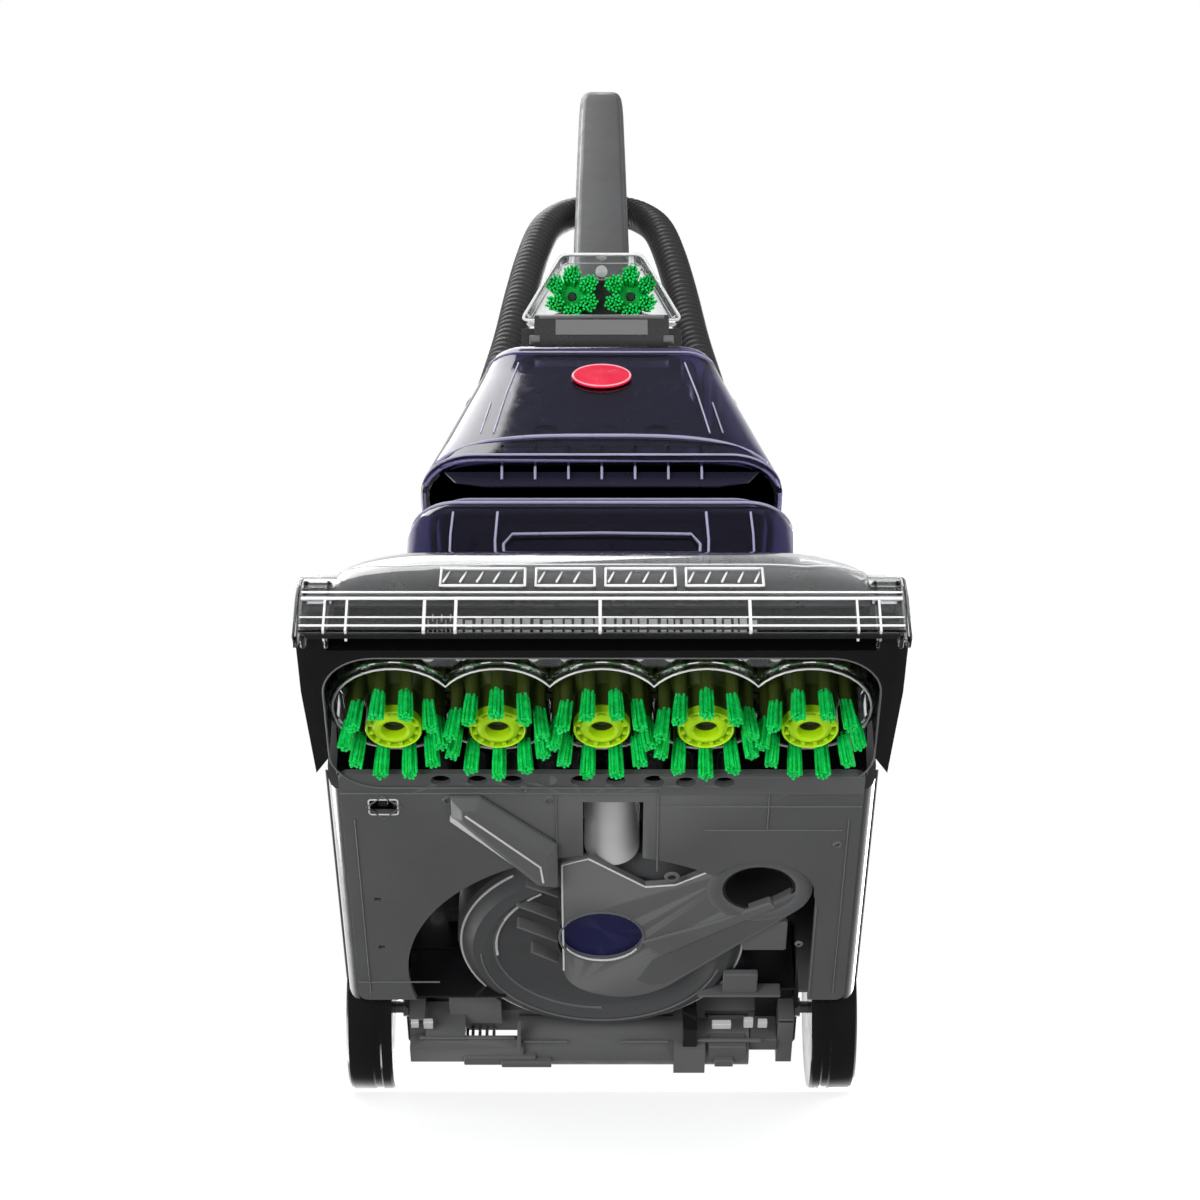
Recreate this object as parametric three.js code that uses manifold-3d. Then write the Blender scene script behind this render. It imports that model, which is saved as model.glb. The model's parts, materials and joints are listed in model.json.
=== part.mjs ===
// Upright carpet cleaner: a floor base with five counter-rotating brushes, a lift-off recovery tank,
// and a leaning upright that carries the clean solution tank, the hose and a powered hand tool.
// Millimetres, +Z up. Modelled with Y measured back from the nozzle's front edge, then moved so that
// the origin is on the floor under the middle of the machine. The front faces -Y.
import * as THREE from "three";
import { mergeVertices } from "three/addons/utils/BufferGeometryUtils.js";
import Module from "manifold-3d";

const wasm = await Module();
wasm.setup();

// ---------------------------------------------------------------- driving dimensions
const NOZZLE_W = 333; // overall width of the floor nozzle
const ORIGIN_Y = 281.85; // from the nozzle's front edge back to the origin
const GAP = 0.4; // clearance between neighbouring pieces
const WALL = 3; // moulded wall thickness

const BRUSH = { count: 5, pitch: 58.5, y: 97.7, gearZ: 45, gearT: 7, hubR: 16, hubZ: 18, boreR: 6.6 };
const TUFT = { count: 10, lowR: 26.5, highR: 24.6, radius: 2.4, low: 1 };
const GEAR = { teeth: 16, addendum: 1.9, dedendum: 3, thickness: 0.385 };
const PINION_TEETH = 8;
const MODULE = BRUSH.pitch / GEAR.teeth;
const PINION_Y = BRUSH.y + (MODULE * (GEAR.teeth + PINION_TEETH)) / 2;

const BASE = { halfLow: 151, halfHigh: 157, front: 71, wing: 362, rear: 468, halfRear: 126, plateZ: 13, deckZ: 104 };
const FAN = { y: 325, r: 89 };
const WHEEL = { y: 425, r: 52, in: 131, out: 161, axleR: 4 };
const PIVOT = { y: 300, z: 100, r: 10 };
const LEAN = THREE.MathUtils.degToRad(10);
const TANK = { half: 115, front: 70, rear: 236, low: 104.5, neckHalf: 92, neckFront: 106, top: 222 };
const LID = { low: 212, top: 376 };
const HOSE = { r: 13, end: 446 };
const SOLUTION = { half: 66, front: 31, rear: 106, low: 190, high: 536 };

// ---------------------------------------------------------------- solids
function toSolid(geometry) {
  const plain = geometry.index ? geometry.toNonIndexed() : geometry.clone();
  for (const key of Object.keys(plain.attributes)) if (key !== "position") plain.deleteAttribute(key);
  const merged = mergeVertices(plain, 1e-4);
  const vertProperties = merged.attributes.position.array;
  return new wasm.Manifold(new wasm.Mesh({ numProp: 3, vertProperties, triVerts: new Uint32Array(merged.index.array) }));
}

function toGeometry(solid) {
  const { numProp, numVert, vertProperties, triVerts } = solid.getMesh();
  const position = new Float32Array(numVert * 3);
  for (let i = 0; i < numVert; i++) position.set(vertProperties.subarray(i * numProp, i * numProp + 3), i * 3);
  const geometry = new THREE.BufferGeometry();
  geometry.setAttribute("position", new THREE.BufferAttribute(position, 3));
  geometry.setIndex(new THREE.BufferAttribute(triVerts, 1));
  return geometry;
}

const join = (first, ...rest) => rest.reduce((a, b) => a.add(b), first);
const cut = (first, ...rest) => rest.reduce((a, b) => a.subtract(b), first);

function block(x0, x1, y0, y1, z0, z1) {
  const geometry = new THREE.BoxGeometry(x1 - x0, y1 - y0, z1 - z0);
  return toSolid(geometry.translate((x0 + x1) / 2, (y0 + y1) / 2, (z0 + z1) / 2));
}

// A round bar from one point to another.
function rod(radius, from, to, sides = 20, endRadius = radius) {
  const a = new THREE.Vector3(...from);
  const b = new THREE.Vector3(...to);
  const geometry = new THREE.CylinderGeometry(endRadius, radius, a.distanceTo(b), sides);
  const turn = new THREE.Quaternion().setFromUnitVectors(new THREE.Vector3(0, 1, 0), b.clone().sub(a).normalize());
  geometry.applyQuaternion(turn);
  const middle = a.add(b).multiplyScalar(0.5);
  return toSolid(geometry.translate(middle.x, middle.y, middle.z));
}

// An outline pushed along an axis: the outline is in (x, y) for "z", (y, z) for "x" and (x, z) for "y".
const AXES = {
  x: [new THREE.Vector3(0, 1, 0), new THREE.Vector3(0, 0, 1), new THREE.Vector3(1, 0, 0)],
  y: [new THREE.Vector3(1, 0, 0), new THREE.Vector3(0, 0, 1), new THREE.Vector3(0, -1, 0)],
  z: [new THREE.Vector3(1, 0, 0), new THREE.Vector3(0, 1, 0), new THREE.Vector3(0, 0, 1)],
};
function prism(outline, axis, low, high, curveSegments = 8) {
  const shape = outline instanceof THREE.Shape ? outline : new THREE.Shape(outline.map(([a, b]) => new THREE.Vector2(a, b)));
  const geometry = new THREE.ExtrudeGeometry(shape, { depth: high - low, bevelEnabled: false, curveSegments });
  geometry.translate(0, 0, axis === "y" ? -high : low);
  return toSolid(geometry.applyMatrix4(new THREE.Matrix4().makeBasis(...AXES[axis])));
}

function roundRect(x0, x1, y0, y1, r) {
  const shape = new THREE.Shape();
  shape.moveTo(x0 + r, y0);
  shape.lineTo(x1 - r, y0);
  shape.absarc(x1 - r, y0 + r, r, -Math.PI / 2, 0);
  shape.lineTo(x1, y1 - r);
  shape.absarc(x1 - r, y1 - r, r, 0, Math.PI / 2);
  shape.lineTo(x0 + r, y1);
  shape.absarc(x0 + r, y1 - r, r, Math.PI / 2, Math.PI);
  shape.lineTo(x0, y0 + r);
  shape.absarc(x0 + r, y0 + r, r, Math.PI, Math.PI * 1.5);
  return shape;
}
const roundBlock = (x0, x1, y0, y1, z0, z1, r, axis = "z", steps = 4) => {
  const span = { x: [y0, y1, z0, z1, x0, x1], y: [x0, x1, z0, z1, y0, y1], z: [x0, x1, y0, y1, z0, z1] }[axis];
  return prism(roundRect(span[0], span[1], span[2], span[3], r), axis, span[4], span[5], steps);
};

// A body turned about a vertical line through (x, y); the profile holds (radius, z) pairs.
function turned(profile, x, y, sides = 32) {
  const points = [...profile, profile[0]].map(([r, z]) => new THREE.Vector2(r, z));
  const geometry = new THREE.LatheGeometry(points, sides);
  geometry.rotateX(Math.PI / 2);
  const solid = toSolid(geometry.translate(x, y, 0));
  return solid.volume() < 0 ? turned([...profile].reverse(), x, y, sides) : solid;
}

// A skin through rings of equal point count, with flat ends.
function loft(rings) {
  const n = rings[0].length;
  const position = rings.flat(2);
  const index = [];
  for (let k = 0; k < rings.length - 1; k++) {
    for (let i = 0; i < n; i++) {
      const [a, b] = [k * n + i, k * n + ((i + 1) % n)];
      index.push(a, b, b + n, a, b + n, a + n);
    }
  }
  const last = (rings.length - 1) * n;
  const flat = (ring) => ring.map(([x, y]) => new THREE.Vector2(x, y));
  for (const [a, b, c] of THREE.ShapeUtils.triangulateShape(flat(rings[0]), [])) index.push(a, c, b);
  for (const [a, b, c] of THREE.ShapeUtils.triangulateShape(flat(rings.at(-1)), [])) index.push(last + a, last + b, last + c);
  const geometry = new THREE.BufferGeometry();
  geometry.setAttribute("position", new THREE.Float32BufferAttribute(position, 3));
  geometry.setIndex(index);
  return toSolid(geometry);
}
const ringAt = (shape, z, steps = 4) => {
  const points = shape.getPoints(steps);
  const kept = points.filter((p, i) => p.distanceTo(points[(i + 1) % points.length]) > 1e-6);
  return kept.map((p) => [p.x, p.y, z]);
};

// A sheet of even thickness: rows of outer points and the matching inner points, closed round the edge.
function sheet(outer, inner) {
  const [rows, columns] = [outer.length, outer[0].length];
  const position = [...outer.flat(2), ...inner.flat(2)];
  const back = rows * columns;
  const at = (r, c) => r * columns + c;
  const index = [];
  for (let r = 0; r < rows - 1; r++) {
    for (let c = 0; c < columns - 1; c++) {
      const quad = [at(r, c), at(r, c + 1), at(r + 1, c + 1), at(r + 1, c)];
      index.push(quad[0], quad[1], quad[2], quad[0], quad[2], quad[3]);
      index.push(quad[0] + back, quad[2] + back, quad[1] + back, quad[0] + back, quad[3] + back, quad[2] + back);
    }
  }
  const edge = [];
  for (let c = 0; c < columns - 1; c++) edge.push([at(0, c + 1), at(0, c)], [at(rows - 1, c), at(rows - 1, c + 1)]);
  for (let r = 0; r < rows - 1; r++) edge.push([at(r, 0), at(r + 1, 0)], [at(r + 1, columns - 1), at(r, columns - 1)]);
  for (const [a, b] of edge) index.push(a, b, b + back, a, b + back, a + back);
  const geometry = new THREE.BufferGeometry();
  geometry.setAttribute("position", new THREE.Float32BufferAttribute(position, 3));
  geometry.setIndex(index);
  const solid = toSolid(geometry);
  if (solid.volume() > 0) return solid;
  for (let i = 0; i < index.length; i += 3) [index[i + 1], index[i + 2]] = [index[i + 2], index[i + 1]];
  geometry.setIndex(index);
  return toSolid(geometry);
}

// ---------------------------------------------------------------- materials
const plastic = (color, roughness = 0.45) => new THREE.MeshStandardMaterial({ color, roughness, metalness: 0 });
const clear = (color, opacity) =>
  new THREE.MeshStandardMaterial({ color, roughness: 0.08, metalness: 0, transparent: true, opacity });
const MATERIAL = {
  grey: plastic(0x545556),
  darkGrey: plastic(0x353637),
  black: plastic(0x121213, 0.3),
  lightGrey: plastic(0xb9b9ba),
  midGrey: plastic(0x6d6e70),
  lime: plastic(0xa6d412, 0.35),
  bristle: plastic(0x0ba83e, 0.5),
  red: plastic(0xd2143c, 0.3),
  rubber: plastic(0x1c1c1d, 0.8),
  hose: plastic(0x3a3a3b, 0.55),
  steel: new THREE.MeshStandardMaterial({ color: 0xc4c6c8, roughness: 0.3, metalness: 1 }),
  copper: new THREE.MeshStandardMaterial({ color: 0xb36b3a, roughness: 0.4, metalness: 1 }),
  clear: clear(0xf2f4f6, 0.3),
  violet: clear(0x4a4878, 0.5),
};

const machine = new THREE.Group();
const baseGroup = new THREE.Group();
const uprightGroup = new THREE.Group();
uprightGroup.position.set(0, PIVOT.y, PIVOT.z);
uprightGroup.rotation.x = -LEAN;
machine.add(baseGroup, uprightGroup);
machine.position.y = -ORIGIN_Y;

function part(group, name, solid, material) {
  const mesh = new THREE.Mesh(toGeometry(solid), material);
  mesh.name = name;
  group.add(mesh);
  return mesh;
}
const sides = [
  ["left", -1],
  ["right", 1],
];
// The same span on either side of the middle: |x| from near to far.
const spanX = (sign, near, far) => (sign < 0 ? [-far, -near] : [near, far]);

// ---------------------------------------------------------------- floor nozzle
const NOZZLE = { bandTop: 28, deck: [16, 58], throat: [60, 112], throatHalf: 88, archHalf: 146, skin: 3 };

// Rear edge of the clear cover at a distance x from the middle: a wide throat that falls to the end decks.
function nozzleRearEdge(x) {
  const s = THREE.MathUtils.clamp((Math.abs(x) - NOZZLE.throatHalf) / (NOZZLE.archHalf - NOZZLE.throatHalf), 0, 1);
  const drop = 1 - Math.sqrt(1 - s * s);
  const rise = (k) => THREE.MathUtils.lerp(NOZZLE.throat[k], NOZZLE.deck[k], drop);
  return [rise(0), rise(1)];
}

function nozzleCover() {
  const half = NOZZLE_W / 2;
  const stations = [half, 146.4, 145, 139, 128, 110, 88, 44];
  const xs = [...stations.map((x) => -x), 0, ...stations.toReversed()];
  const column = (x, inset) => {
    const [ry, rz] = nozzleRearEdge(x);
    const rows = [[inset, 3.5], [inset, NOZZLE.bandTop - inset * 0.4]];
    for (let k = 1; k <= 4; k++) {
      const t = k / 4;
      const bulge = [4, THREE.MathUtils.lerp(NOZZLE.bandTop, rz, 0.62)];
      const mix = (a, b, c) => (1 - t) ** 2 * a + 2 * t * (1 - t) * b + t * t * c;
      rows.push([mix(0, bulge[0], ry) + inset * 0.9, mix(NOZZLE.bandTop, bulge[1], rz) - inset * 0.5]);
    }
    return rows.map(([y, z]) => [x, y, z]);
  };
  const skin = sheet(xs.map((x) => column(x, 0)), xs.map((x) => column(x, NOZZLE.skin)));
  const end = (sign) => {
    const outline = [[0, 0], [9, 0], [14.5, 30], [18.5, 56], [16, 58], [6, 47], [0, NOZZLE.bandTop]];
    return prism(outline, "x", ...spanX(sign, half - NOZZLE.skin, half));
  };
  return join(skin, end(-1), end(1));
}

// The dark plate behind the clear cover: it closes the suction channel up to the throat.
function nozzleBack() {
  const xs = [-146, -132, -112, -88, 0, 88, 112, 132, 146];
  const column = (x, inset) => {
    const [ry, rz] = nozzleRearEdge(Math.abs(x) + 6);
    const top = [Math.max(ry + 5, 27), Math.max(rz - 9, 66)];
    return [[25, 63], [top[0] - 2, top[1] - 1.5], top].map(([y, z]) => [x, y + inset, z - inset * 0.25]);
  };
  return sheet(xs.map((x) => column(x, 0)), xs.map((x) => column(x, WALL)));
}

// Black hood over the brushes, with a deep front bar and two pointed side skirts.
function brushHood() {
  const half = [[163, 11], [163, 19], [166.5, 19.4], [166.5, 60], [162.5, 132], [151, 112], [151, 149]];
  const outline = [...half, ...half.toReversed().map(([x, y]) => [-x, y])];
  const shell = prism(outline, "z", 12, 62);
  const gearBump = block(-22, 22, 140, 163, 38, 62);
  const cavity = prism(roundRect(-154.5, 154.5, 31, 146, 30), "z", 0, 58.2, 3);
  const suction = block(-150, 150, 13, 25, 0, 70);
  const pinionWell = rod(18.5, [0, PINION_Y, 41], [0, PINION_Y, 70], 16);
  const plateStep = block(-151.5, 151.5, 133.4, 150, 0, 17);
  const frontStep = block(-170, 170, 0, 22, 44, 70);
  return cut(join(shell, gearBump), cavity, suction, pinionWell, plateStep, frontStep);
}

part(baseGroup, "brush_hood", brushHood(), MATERIAL.black);
part(baseGroup, "nozzle_cover", nozzleCover(), MATERIAL.clear);
part(baseGroup, "nozzle_back", nozzleBack(), MATERIAL.grey);

// ---------------------------------------------------------------- brushes and their drive
function gearOutline(teeth, phase) {
  const pitchR = (MODULE * teeth) / 2;
  const [root, tip] = [pitchR - GEAR.dedendum, pitchR + GEAR.addendum];
  const step = (2 * Math.PI) / teeth;
  const points = [];
  for (let i = 0; i < teeth; i++) {
    const middle = phase + i * step;
    const corners = [[root, -0.36], [tip, -0.17], [tip, 0.17], [root, 0.36]];
    for (const [r, share] of corners) {
      const angle = middle + share * step * (GEAR.thickness / 0.5);
      points.push([r * Math.cos(angle), r * Math.sin(angle)]);
    }
  }
  return points;
}

const brushX = (i) => (i - (BRUSH.count - 1) / 2) * BRUSH.pitch;
// Neighbouring gears stand half a tooth apart, so that they mesh; even brushes point a tuft straight ahead.
const brushPhase = (i) => (i % 2 === 0 ? 0 : Math.PI / GEAR.teeth);

function brush(i) {
  const { gearZ, gearT, hubR, hubZ, boreR } = BRUSH;
  const gear = prism(gearOutline(GEAR.teeth, brushPhase(i)), "z", gearZ, gearZ + gearT);
  const boss = rod(hubR, [0, 0, hubZ], [0, 0, gearZ + 1], 16);
  const bore = rod(boreR, [0, 0, 0], [0, 0, 80], 10);
  let solid = cut(join(gear, boss), bore);
  const turn = i % 2 === 0 ? Math.PI / TUFT.count : 0;
  for (let k = 0; k < TUFT.count; k++) {
    const angle = Math.PI / 2 + turn + (k * 2 * Math.PI) / TUFT.count;
    const at = (r, z) => [r * Math.cos(angle), r * Math.sin(angle), z];
    solid = join(solid, rod(TUFT.radius, at(TUFT.lowR, TUFT.low), at(TUFT.highR, gearZ + 1), 4));
  }
  return solid.translate([brushX(i), BRUSH.y, 0]);
}
for (let i = 0; i < BRUSH.count; i++) part(baseGroup, `brush_${i + 1}`, brush(i), MATERIAL.lime);

function brushBlock() {
  let solid = prism(roundRect(-153, 153, 62, 133, 30), "z", 54.5, 57.8, 3);
  for (let i = 0; i < BRUSH.count; i++) {
    solid = join(solid, rod(BRUSH.boreR - GAP, [brushX(i), BRUSH.y, 24], [brushX(i), BRUSH.y, 55], 10));
  }
  return cut(solid, rod(6, [0, PINION_Y, 50], [0, PINION_Y, 60], 12));
}
part(baseGroup, "brush_block", brushBlock(), MATERIAL.darkGrey);

// Clear wall that follows the five brushes.
function brushShroud() {
  const discs = (r, low, high) => {
    const each = [...Array(BRUSH.count).keys()].map((i) => rod(r, [brushX(i), BRUSH.y, low], [brushX(i), BRUSH.y, high], 14));
    return join(...each);
  };
  const wall = cut(discs(36.4, 31, 54), discs(34, 20, 60));
  return cut(wall, rod(18.5, [0, PINION_Y, 42], [0, PINION_Y, 60], 12));
}
part(baseGroup, "brush_shroud", brushShroud(), MATERIAL.clear);

function brushPinion() {
  const wheel = prism(gearOutline(PINION_TEETH, -Math.PI / 2 + Math.PI / PINION_TEETH), "z", BRUSH.gearZ, BRUSH.gearZ + BRUSH.gearT);
  const shaft = rod(2.5, [0, 0, 43], [0, 0, 64], 8);
  return join(wheel, shaft).translate([0, PINION_Y, 0]);
}
part(baseGroup, "brush_pinion", brushPinion(), MATERIAL.lightGrey);
const brushMotor = cut(
  join(rod(19, [0, PINION_Y, 63], [0, PINION_Y, 98], 20), roundBlock(-30, 30, PINION_Y - 8, PINION_Y + 8, 63, 66, 6, "z", 2)),
  rod(3, [0, PINION_Y, 60], [0, PINION_Y, 66], 10),
);
part(baseGroup, "brush_motor", brushMotor, MATERIAL.steel);

// ---------------------------------------------------------------- base housing
// Space on each side for the upright's arm to swing, and the release pedal's pin.
const ARM = { in: 98, out: 120.4 };
const PEDAL = { y: 452, z: 96 };

function baseHousing() {
  const { halfLow, halfHigh, front, wing, rear, halfRear, deckZ } = BASE;
  const outer = (inset, top) => {
    const steps = inset ? 1 : 2;
    const ring = (half, z) => ringAt(roundRect(-half + inset, half - inset, front + inset, wing - inset, 14), z, steps);
    return loft([ring(halfLow, 17 - inset), ring(halfHigh, 84 - inset), ring(halfHigh - 2, 94 - inset), ring(halfHigh - 12, top)]);
  };
  const tail = (inset) => roundBlock(-halfRear + inset, halfRear - inset, 300, rear - inset, 48 - inset, 84 - inset, 12, "z", 1);
  const dome = (r, top) => turned([[0, 80], [r, 80], [r, top - 14], [r - 5, top - 5], [r - 16, top], [0, top]], 0, FAN.y, 20);
  const tower = (sign) => {
    const outline = new THREE.Shape();
    outline.moveTo(-28, -20);
    outline.lineTo(28, -20);
    outline.lineTo(24, 0);
    outline.absarc(0, 0, 24, 0, Math.PI);
    return prism(outline, "x", ...spanX(sign, ARM.out, 144), 5).translate([0, PIVOT.y, PIVOT.z]);
  };
  let solid = join(outer(0, deckZ), tail(0), dome(82, 150));
  solid = cut(solid, outer(WALL, deckZ - WALL), tail(WALL), dome(82 - WALL, 150 - WALL), block(-146, 146, 130, 380, 0, 20));
  const pedalEar = (x0, x1) => prism([[434, 82], [462, 82], [459, 103], [445, 103]], "x", x0, x1);
  solid = join(solid, tower(-1), tower(1), pedalEar(-112, -102), pedalEar(-50, -40));
  const cuts = [
    rod(PIVOT.r + GAP, [-150, PIVOT.y, PIVOT.z], [150, PIVOT.y, PIVOT.z], 16),
    block(-170, 170, 40, 150.5, 0, 62.4), // room for the brush hood
    block(-32, 32, PINION_Y - 22, PINION_Y + 23, 0, 99.5),
    ...[-1, 1].map((s) => block(...spanX(s, ARM.in, ARM.out), 258, 372, 62, 140)),
    ...[-1, 1].map((s) => block(...spanX(s, WHEEL.in - 3.5, 175), 367, 480, 0, 120)),
    rod(30, [0, FAN.y, 140], [0, FAN.y, 160], 12), // exhaust at the top of the dome
    rod(4.5, [-120, PEDAL.y, PEDAL.z], [-30, PEDAL.y, PEDAL.z], 10),
    block(-87, -53, 460, 475, 40, 63), // gap under the pedal
    block(-123, 123, 352, 375, 0, 60),
    rod(WHEEL.axleR + GAP, [-140, WHEEL.y, WHEEL.r], [140, WHEEL.y, WHEEL.r], 10),
  ];
  return cut(solid, ...cuts);
}
part(baseGroup, "base_housing", baseHousing(), MATERIAL.darkGrey);

// Underside plate, open round the fan housing, with the hooked air duct's recess on the right.
function bottomPlate() {
  const { plateZ } = BASE;
  const plate = prism(roundRect(-150.5, 150.5, 134, 360, 6), "z", plateZ, plateZ + 3.5, 2);
  const holes = [
    rod(119, [0, 330, 0], [0, 330, 30], 36),
    prism(roundRect(58, 128, 250, 420, 6), "z", 0, 40, 2),
    rod(33, [94, 250, 0], [94, 250, 40], 18),
    block(-11, 24, 160, 260, 0, 40),
    block(-134, -118, 158, 171, 0, 40),
    block(-136, -132, 253, 257, 0, 40),
    block(-136, -132, 302, 306, 0, 40),
  ];
  for (const x of [-92, -71, -51, -31, -1, 30, 48]) holes.push(rod(5, [x, 144, 0], [x, 144, 40], 8));
  return cut(plate, ...holes);
}
part(baseGroup, "bottom_plate", bottomPlate(), MATERIAL.grey);

// ---------------------------------------------------------------- air path seen from below
function fanHousing() {
  const r = FAN.r;
  const profile = [[27, 30.5], [64, 30.5], [72, 24.5], [80, 26], [r, 36], [r, 60], [r - 3, 60], [r - 3, 39], [27, 33.5]];
  return cut(turned(profile, 0, FAN.y, 24), block(60, 120, 220, 262, 20, 70));
}
part(baseGroup, "fan_housing", fanHousing(), MATERIAL.darkGrey);

// Raised duct cover: the round air inlet, and an arm that curls round the outlet at the right.
function airDuctCover() {
  const shape = new THREE.Shape();
  shape.moveTo(-24, 224);
  shape.lineTo(-8, 219);
  shape.lineTo(26, 247);
  shape.lineTo(44, 245);
  shape.lineTo(74, 225);
  shape.absarc(94, 250, 32, -2.25, 0.75);
  shape.lineTo(42, 350);
  shape.quadraticCurveTo(24, 366, 4, 362);
  shape.quadraticCurveTo(-22, 356, -24, 332);
  const inlet = rod(25, [0, 299, 0], [0, 299, 40], 24);
  const outlet = rod(22, [94, 250, 0], [94, 250, 40], 18);
  const spine = prism([[26, 300], [104, 262], [110, 272], [34, 330]], "z", 17, 23.6);
  return cut(join(prism(shape, "z", 17.2, 21.2, 6), spine), inlet, outlet);
}
part(baseGroup, "air_duct_cover", airDuctCover(), MATERIAL.midGrey);

// Slanting channel that feeds solution forward to the spray bar.
function solutionChannel() {
  const outline = [[-87, 152], [-70, 152], [-26, 197], [-26, 238], [-38, 236], [-87, 170]];
  const roof = [[-80, 158], [-72, 158], [-31, 201], [-31, 230], [-36, 229], [-80, 168]];
  const at = (points, z) => points.map(([x, y]) => [x, y, z]);
  return loft([at(roof, 4.5), at(outline, 9.5), at(outline, 12.5)]);
}
part(baseGroup, "solution_channel", solutionChannel(), MATERIAL.midGrey);

const intakePipe = cut(rod(16.5, [6, 166, 38.2], [6, 232, 38.2], 16), rod(14, [6, 150, 38.2], [6, 260, 38.2], 16));
part(baseGroup, "intake_pipe", intakePipe, MATERIAL.lightGrey);

function impeller() {
  let solid = join(rod(66, [0, 0, 43], [0, 0, 45.5], 24), rod(10, [0, 0, 42], [0, 0, 62], 12));
  for (let k = 0; k < 8; k++) {
    const blade = prism([[9, -1], [62, 14], [61, 17], [9, 1.2]], "z", 45, 56);
    solid = join(solid, blade.rotate([0, 0, k * 45]));
  }
  return cut(solid, rod(4, [0, 0, 30], [0, 0, 70], 10)).translate([0, FAN.y, 0]);
}
part(baseGroup, "fan_impeller", impeller(), MATERIAL.lightGrey);
part(baseGroup, "motor_shaft", rod(3.6, [0, FAN.y, 41], [0, FAN.y, 132], 10), MATERIAL.steel);

function motorCan() {
  const profile = [[5, 66], [78, 66], [78, 69], [46, 72], [46, 122], [40, 128], [14, 128], [14, 134], [5, 134]];
  return turned(profile, 0, FAN.y, 16);
}
part(baseGroup, "suction_motor", motorCan(), MATERIAL.steel);

// Solution pump beside the brush motor, and the spray bar that it feeds.
const pump = join(
  roundBlock(44, 92, 168, 206, 70, 98, 6, "z", 2),
  rod(13.5, [91, 187, 84], [112, 187, 84], 14),
  rod(4, [56, 160, 84], [56, 168, 84], 10),
);
part(baseGroup, "solution_pump", pump, MATERIAL.black);
let sprayBar = rod(4.5, [-110, 0, 0], [110, 0, 0], 8);
for (const x of [-90, -45, 0, 45, 90]) sprayBar = join(sprayBar, rod(3.4, [x, 0, 0], [x, 0, -8.5], 6, 2));
part(baseGroup, "spray_bar", sprayBar.translate([0, 82, 74]), MATERIAL.lightGrey);

// ---------------------------------------------------------------- rear frame, axle and wheels
function rearFrame() {
  const bar = join(
    rod(16, [-53, 431, 31], [94, 431, 31], 20),
    block(-122, 122, 417, 438, 44, 64),
    block(46, 66, 417, 444, 14, 60),
    ...[-1, 1].map((s) => block(...spanX(s, 112, 122), 400, 446, 24, 64)),
    block(-122, -50, 416, 431, 14, 24),
    block(-112, -87, 410, 431, 20, 46),
    prism([[-97, 386], [-72, 386], [-64, 396], [-64, 420], [-97, 420]], "z", 36, 50),
    ...[-84, -79.5, -75, -70.5].map((x) => block(x, x + 2, 435, 438, 37, 46)),
  );
  return cut(bar, rod(WHEEL.axleR + GAP, [-140, WHEEL.y, WHEEL.r], [140, WHEEL.y, WHEEL.r], 10));
}
part(baseGroup, "rear_frame", rearFrame(), MATERIAL.midGrey);
part(baseGroup, "rear_axle", rod(WHEEL.axleR, [-158, WHEEL.y, WHEEL.r], [158, WHEEL.y, WHEEL.r], 12), MATERIAL.steel);

function wheel(sign) {
  const [near, far] = [WHEEL.in, WHEEL.out];
  const width = far - near;
  const bore = WHEEL.axleR + GAP;
  const profile = [[bore, 2], [46, 2], [47, 0], [WHEEL.r, 3], [WHEEL.r, width - 3], [50, width], [40, width], [37, width - 7],
    [16, width - 7], [14, width - 1], [bore, width - 1]];
  const rim = turned(profile, 0, 0, 24);
  return rim.rotate([0, sign * 90, 0]).translate([sign * near, WHEEL.y, WHEEL.r]);
}
for (const [side, sign] of sides) part(baseGroup, `wheel_${side}`, wheel(sign), MATERIAL.black);

for (const [side, sign] of sides) {
  const cap = join(rod(13.2, [sign * 160.6, 0, 0], [sign * 163, 0, 0], 16, 11), rod(3.6, [sign * 158.4, 0, 0], [sign * 161, 0, 0], 10));
  part(baseGroup, `hub_cap_${side}`, cap.translate([0, WHEEL.y, WHEEL.r]), MATERIAL.darkGrey);
}
// Pedal at the rear that frees the upright so that it can lean back.
function releasePedal() {
  const outline = [[-12, 3], [-6, -6], [6, -6], [30, -12], [33, -8], [10, 5], [-4, 7]];
  const foot = prism(outline, "x", -98, -54);
  return join(foot, rod(4, [-106, 0, 0], [-46, 0, 0], 10)).translate([0, PEDAL.y, PEDAL.z]);
}
part(baseGroup, "release_pedal", releasePedal(), MATERIAL.black);

// ---------------------------------------------------------------- recovery tank and lid
function tankRings(inset) {
  const { half, front, rear, low } = TANK;
  const steps = inset ? 1 : 2;
  const ring = (h, f, z, r) => ringAt(roundRect(-h + inset, h - inset, f + inset, rear - inset, r), z, steps);
  return [
    ring(half - 3, front + 2, low + inset, 26),
    ring(half, front, low + 8 + inset, 28),
    ring(half, front + 1, 158, 28),
    ring(half - 5, front + 6, 172 - inset * 0.3, 26),
    ring(half - 15, front + 14, 180 - inset * 0.7, 24),
  ];
}
function recoveryTub() {
  const { neckHalf, neckFront, rear, top } = TANK;
  const neck = (inset, low) => roundBlock(-neckHalf + inset, neckHalf - inset, neckFront + inset, rear - 4 - inset, low, top, 20, "z", inset ? 1 : 2);
  const outer = join(loft(tankRings(0)), neck(0, 150));
  const inner = join(loft(tankRings(WALL)), neck(WALL, 140).translate([0, 0, 5]));
  const throat = block(-84, 84, 60, 90, 111, 126.6);
  return cut(outer, inner, throat);
}
part(baseGroup, "recovery_tub", recoveryTub(), MATERIAL.violet);

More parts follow.
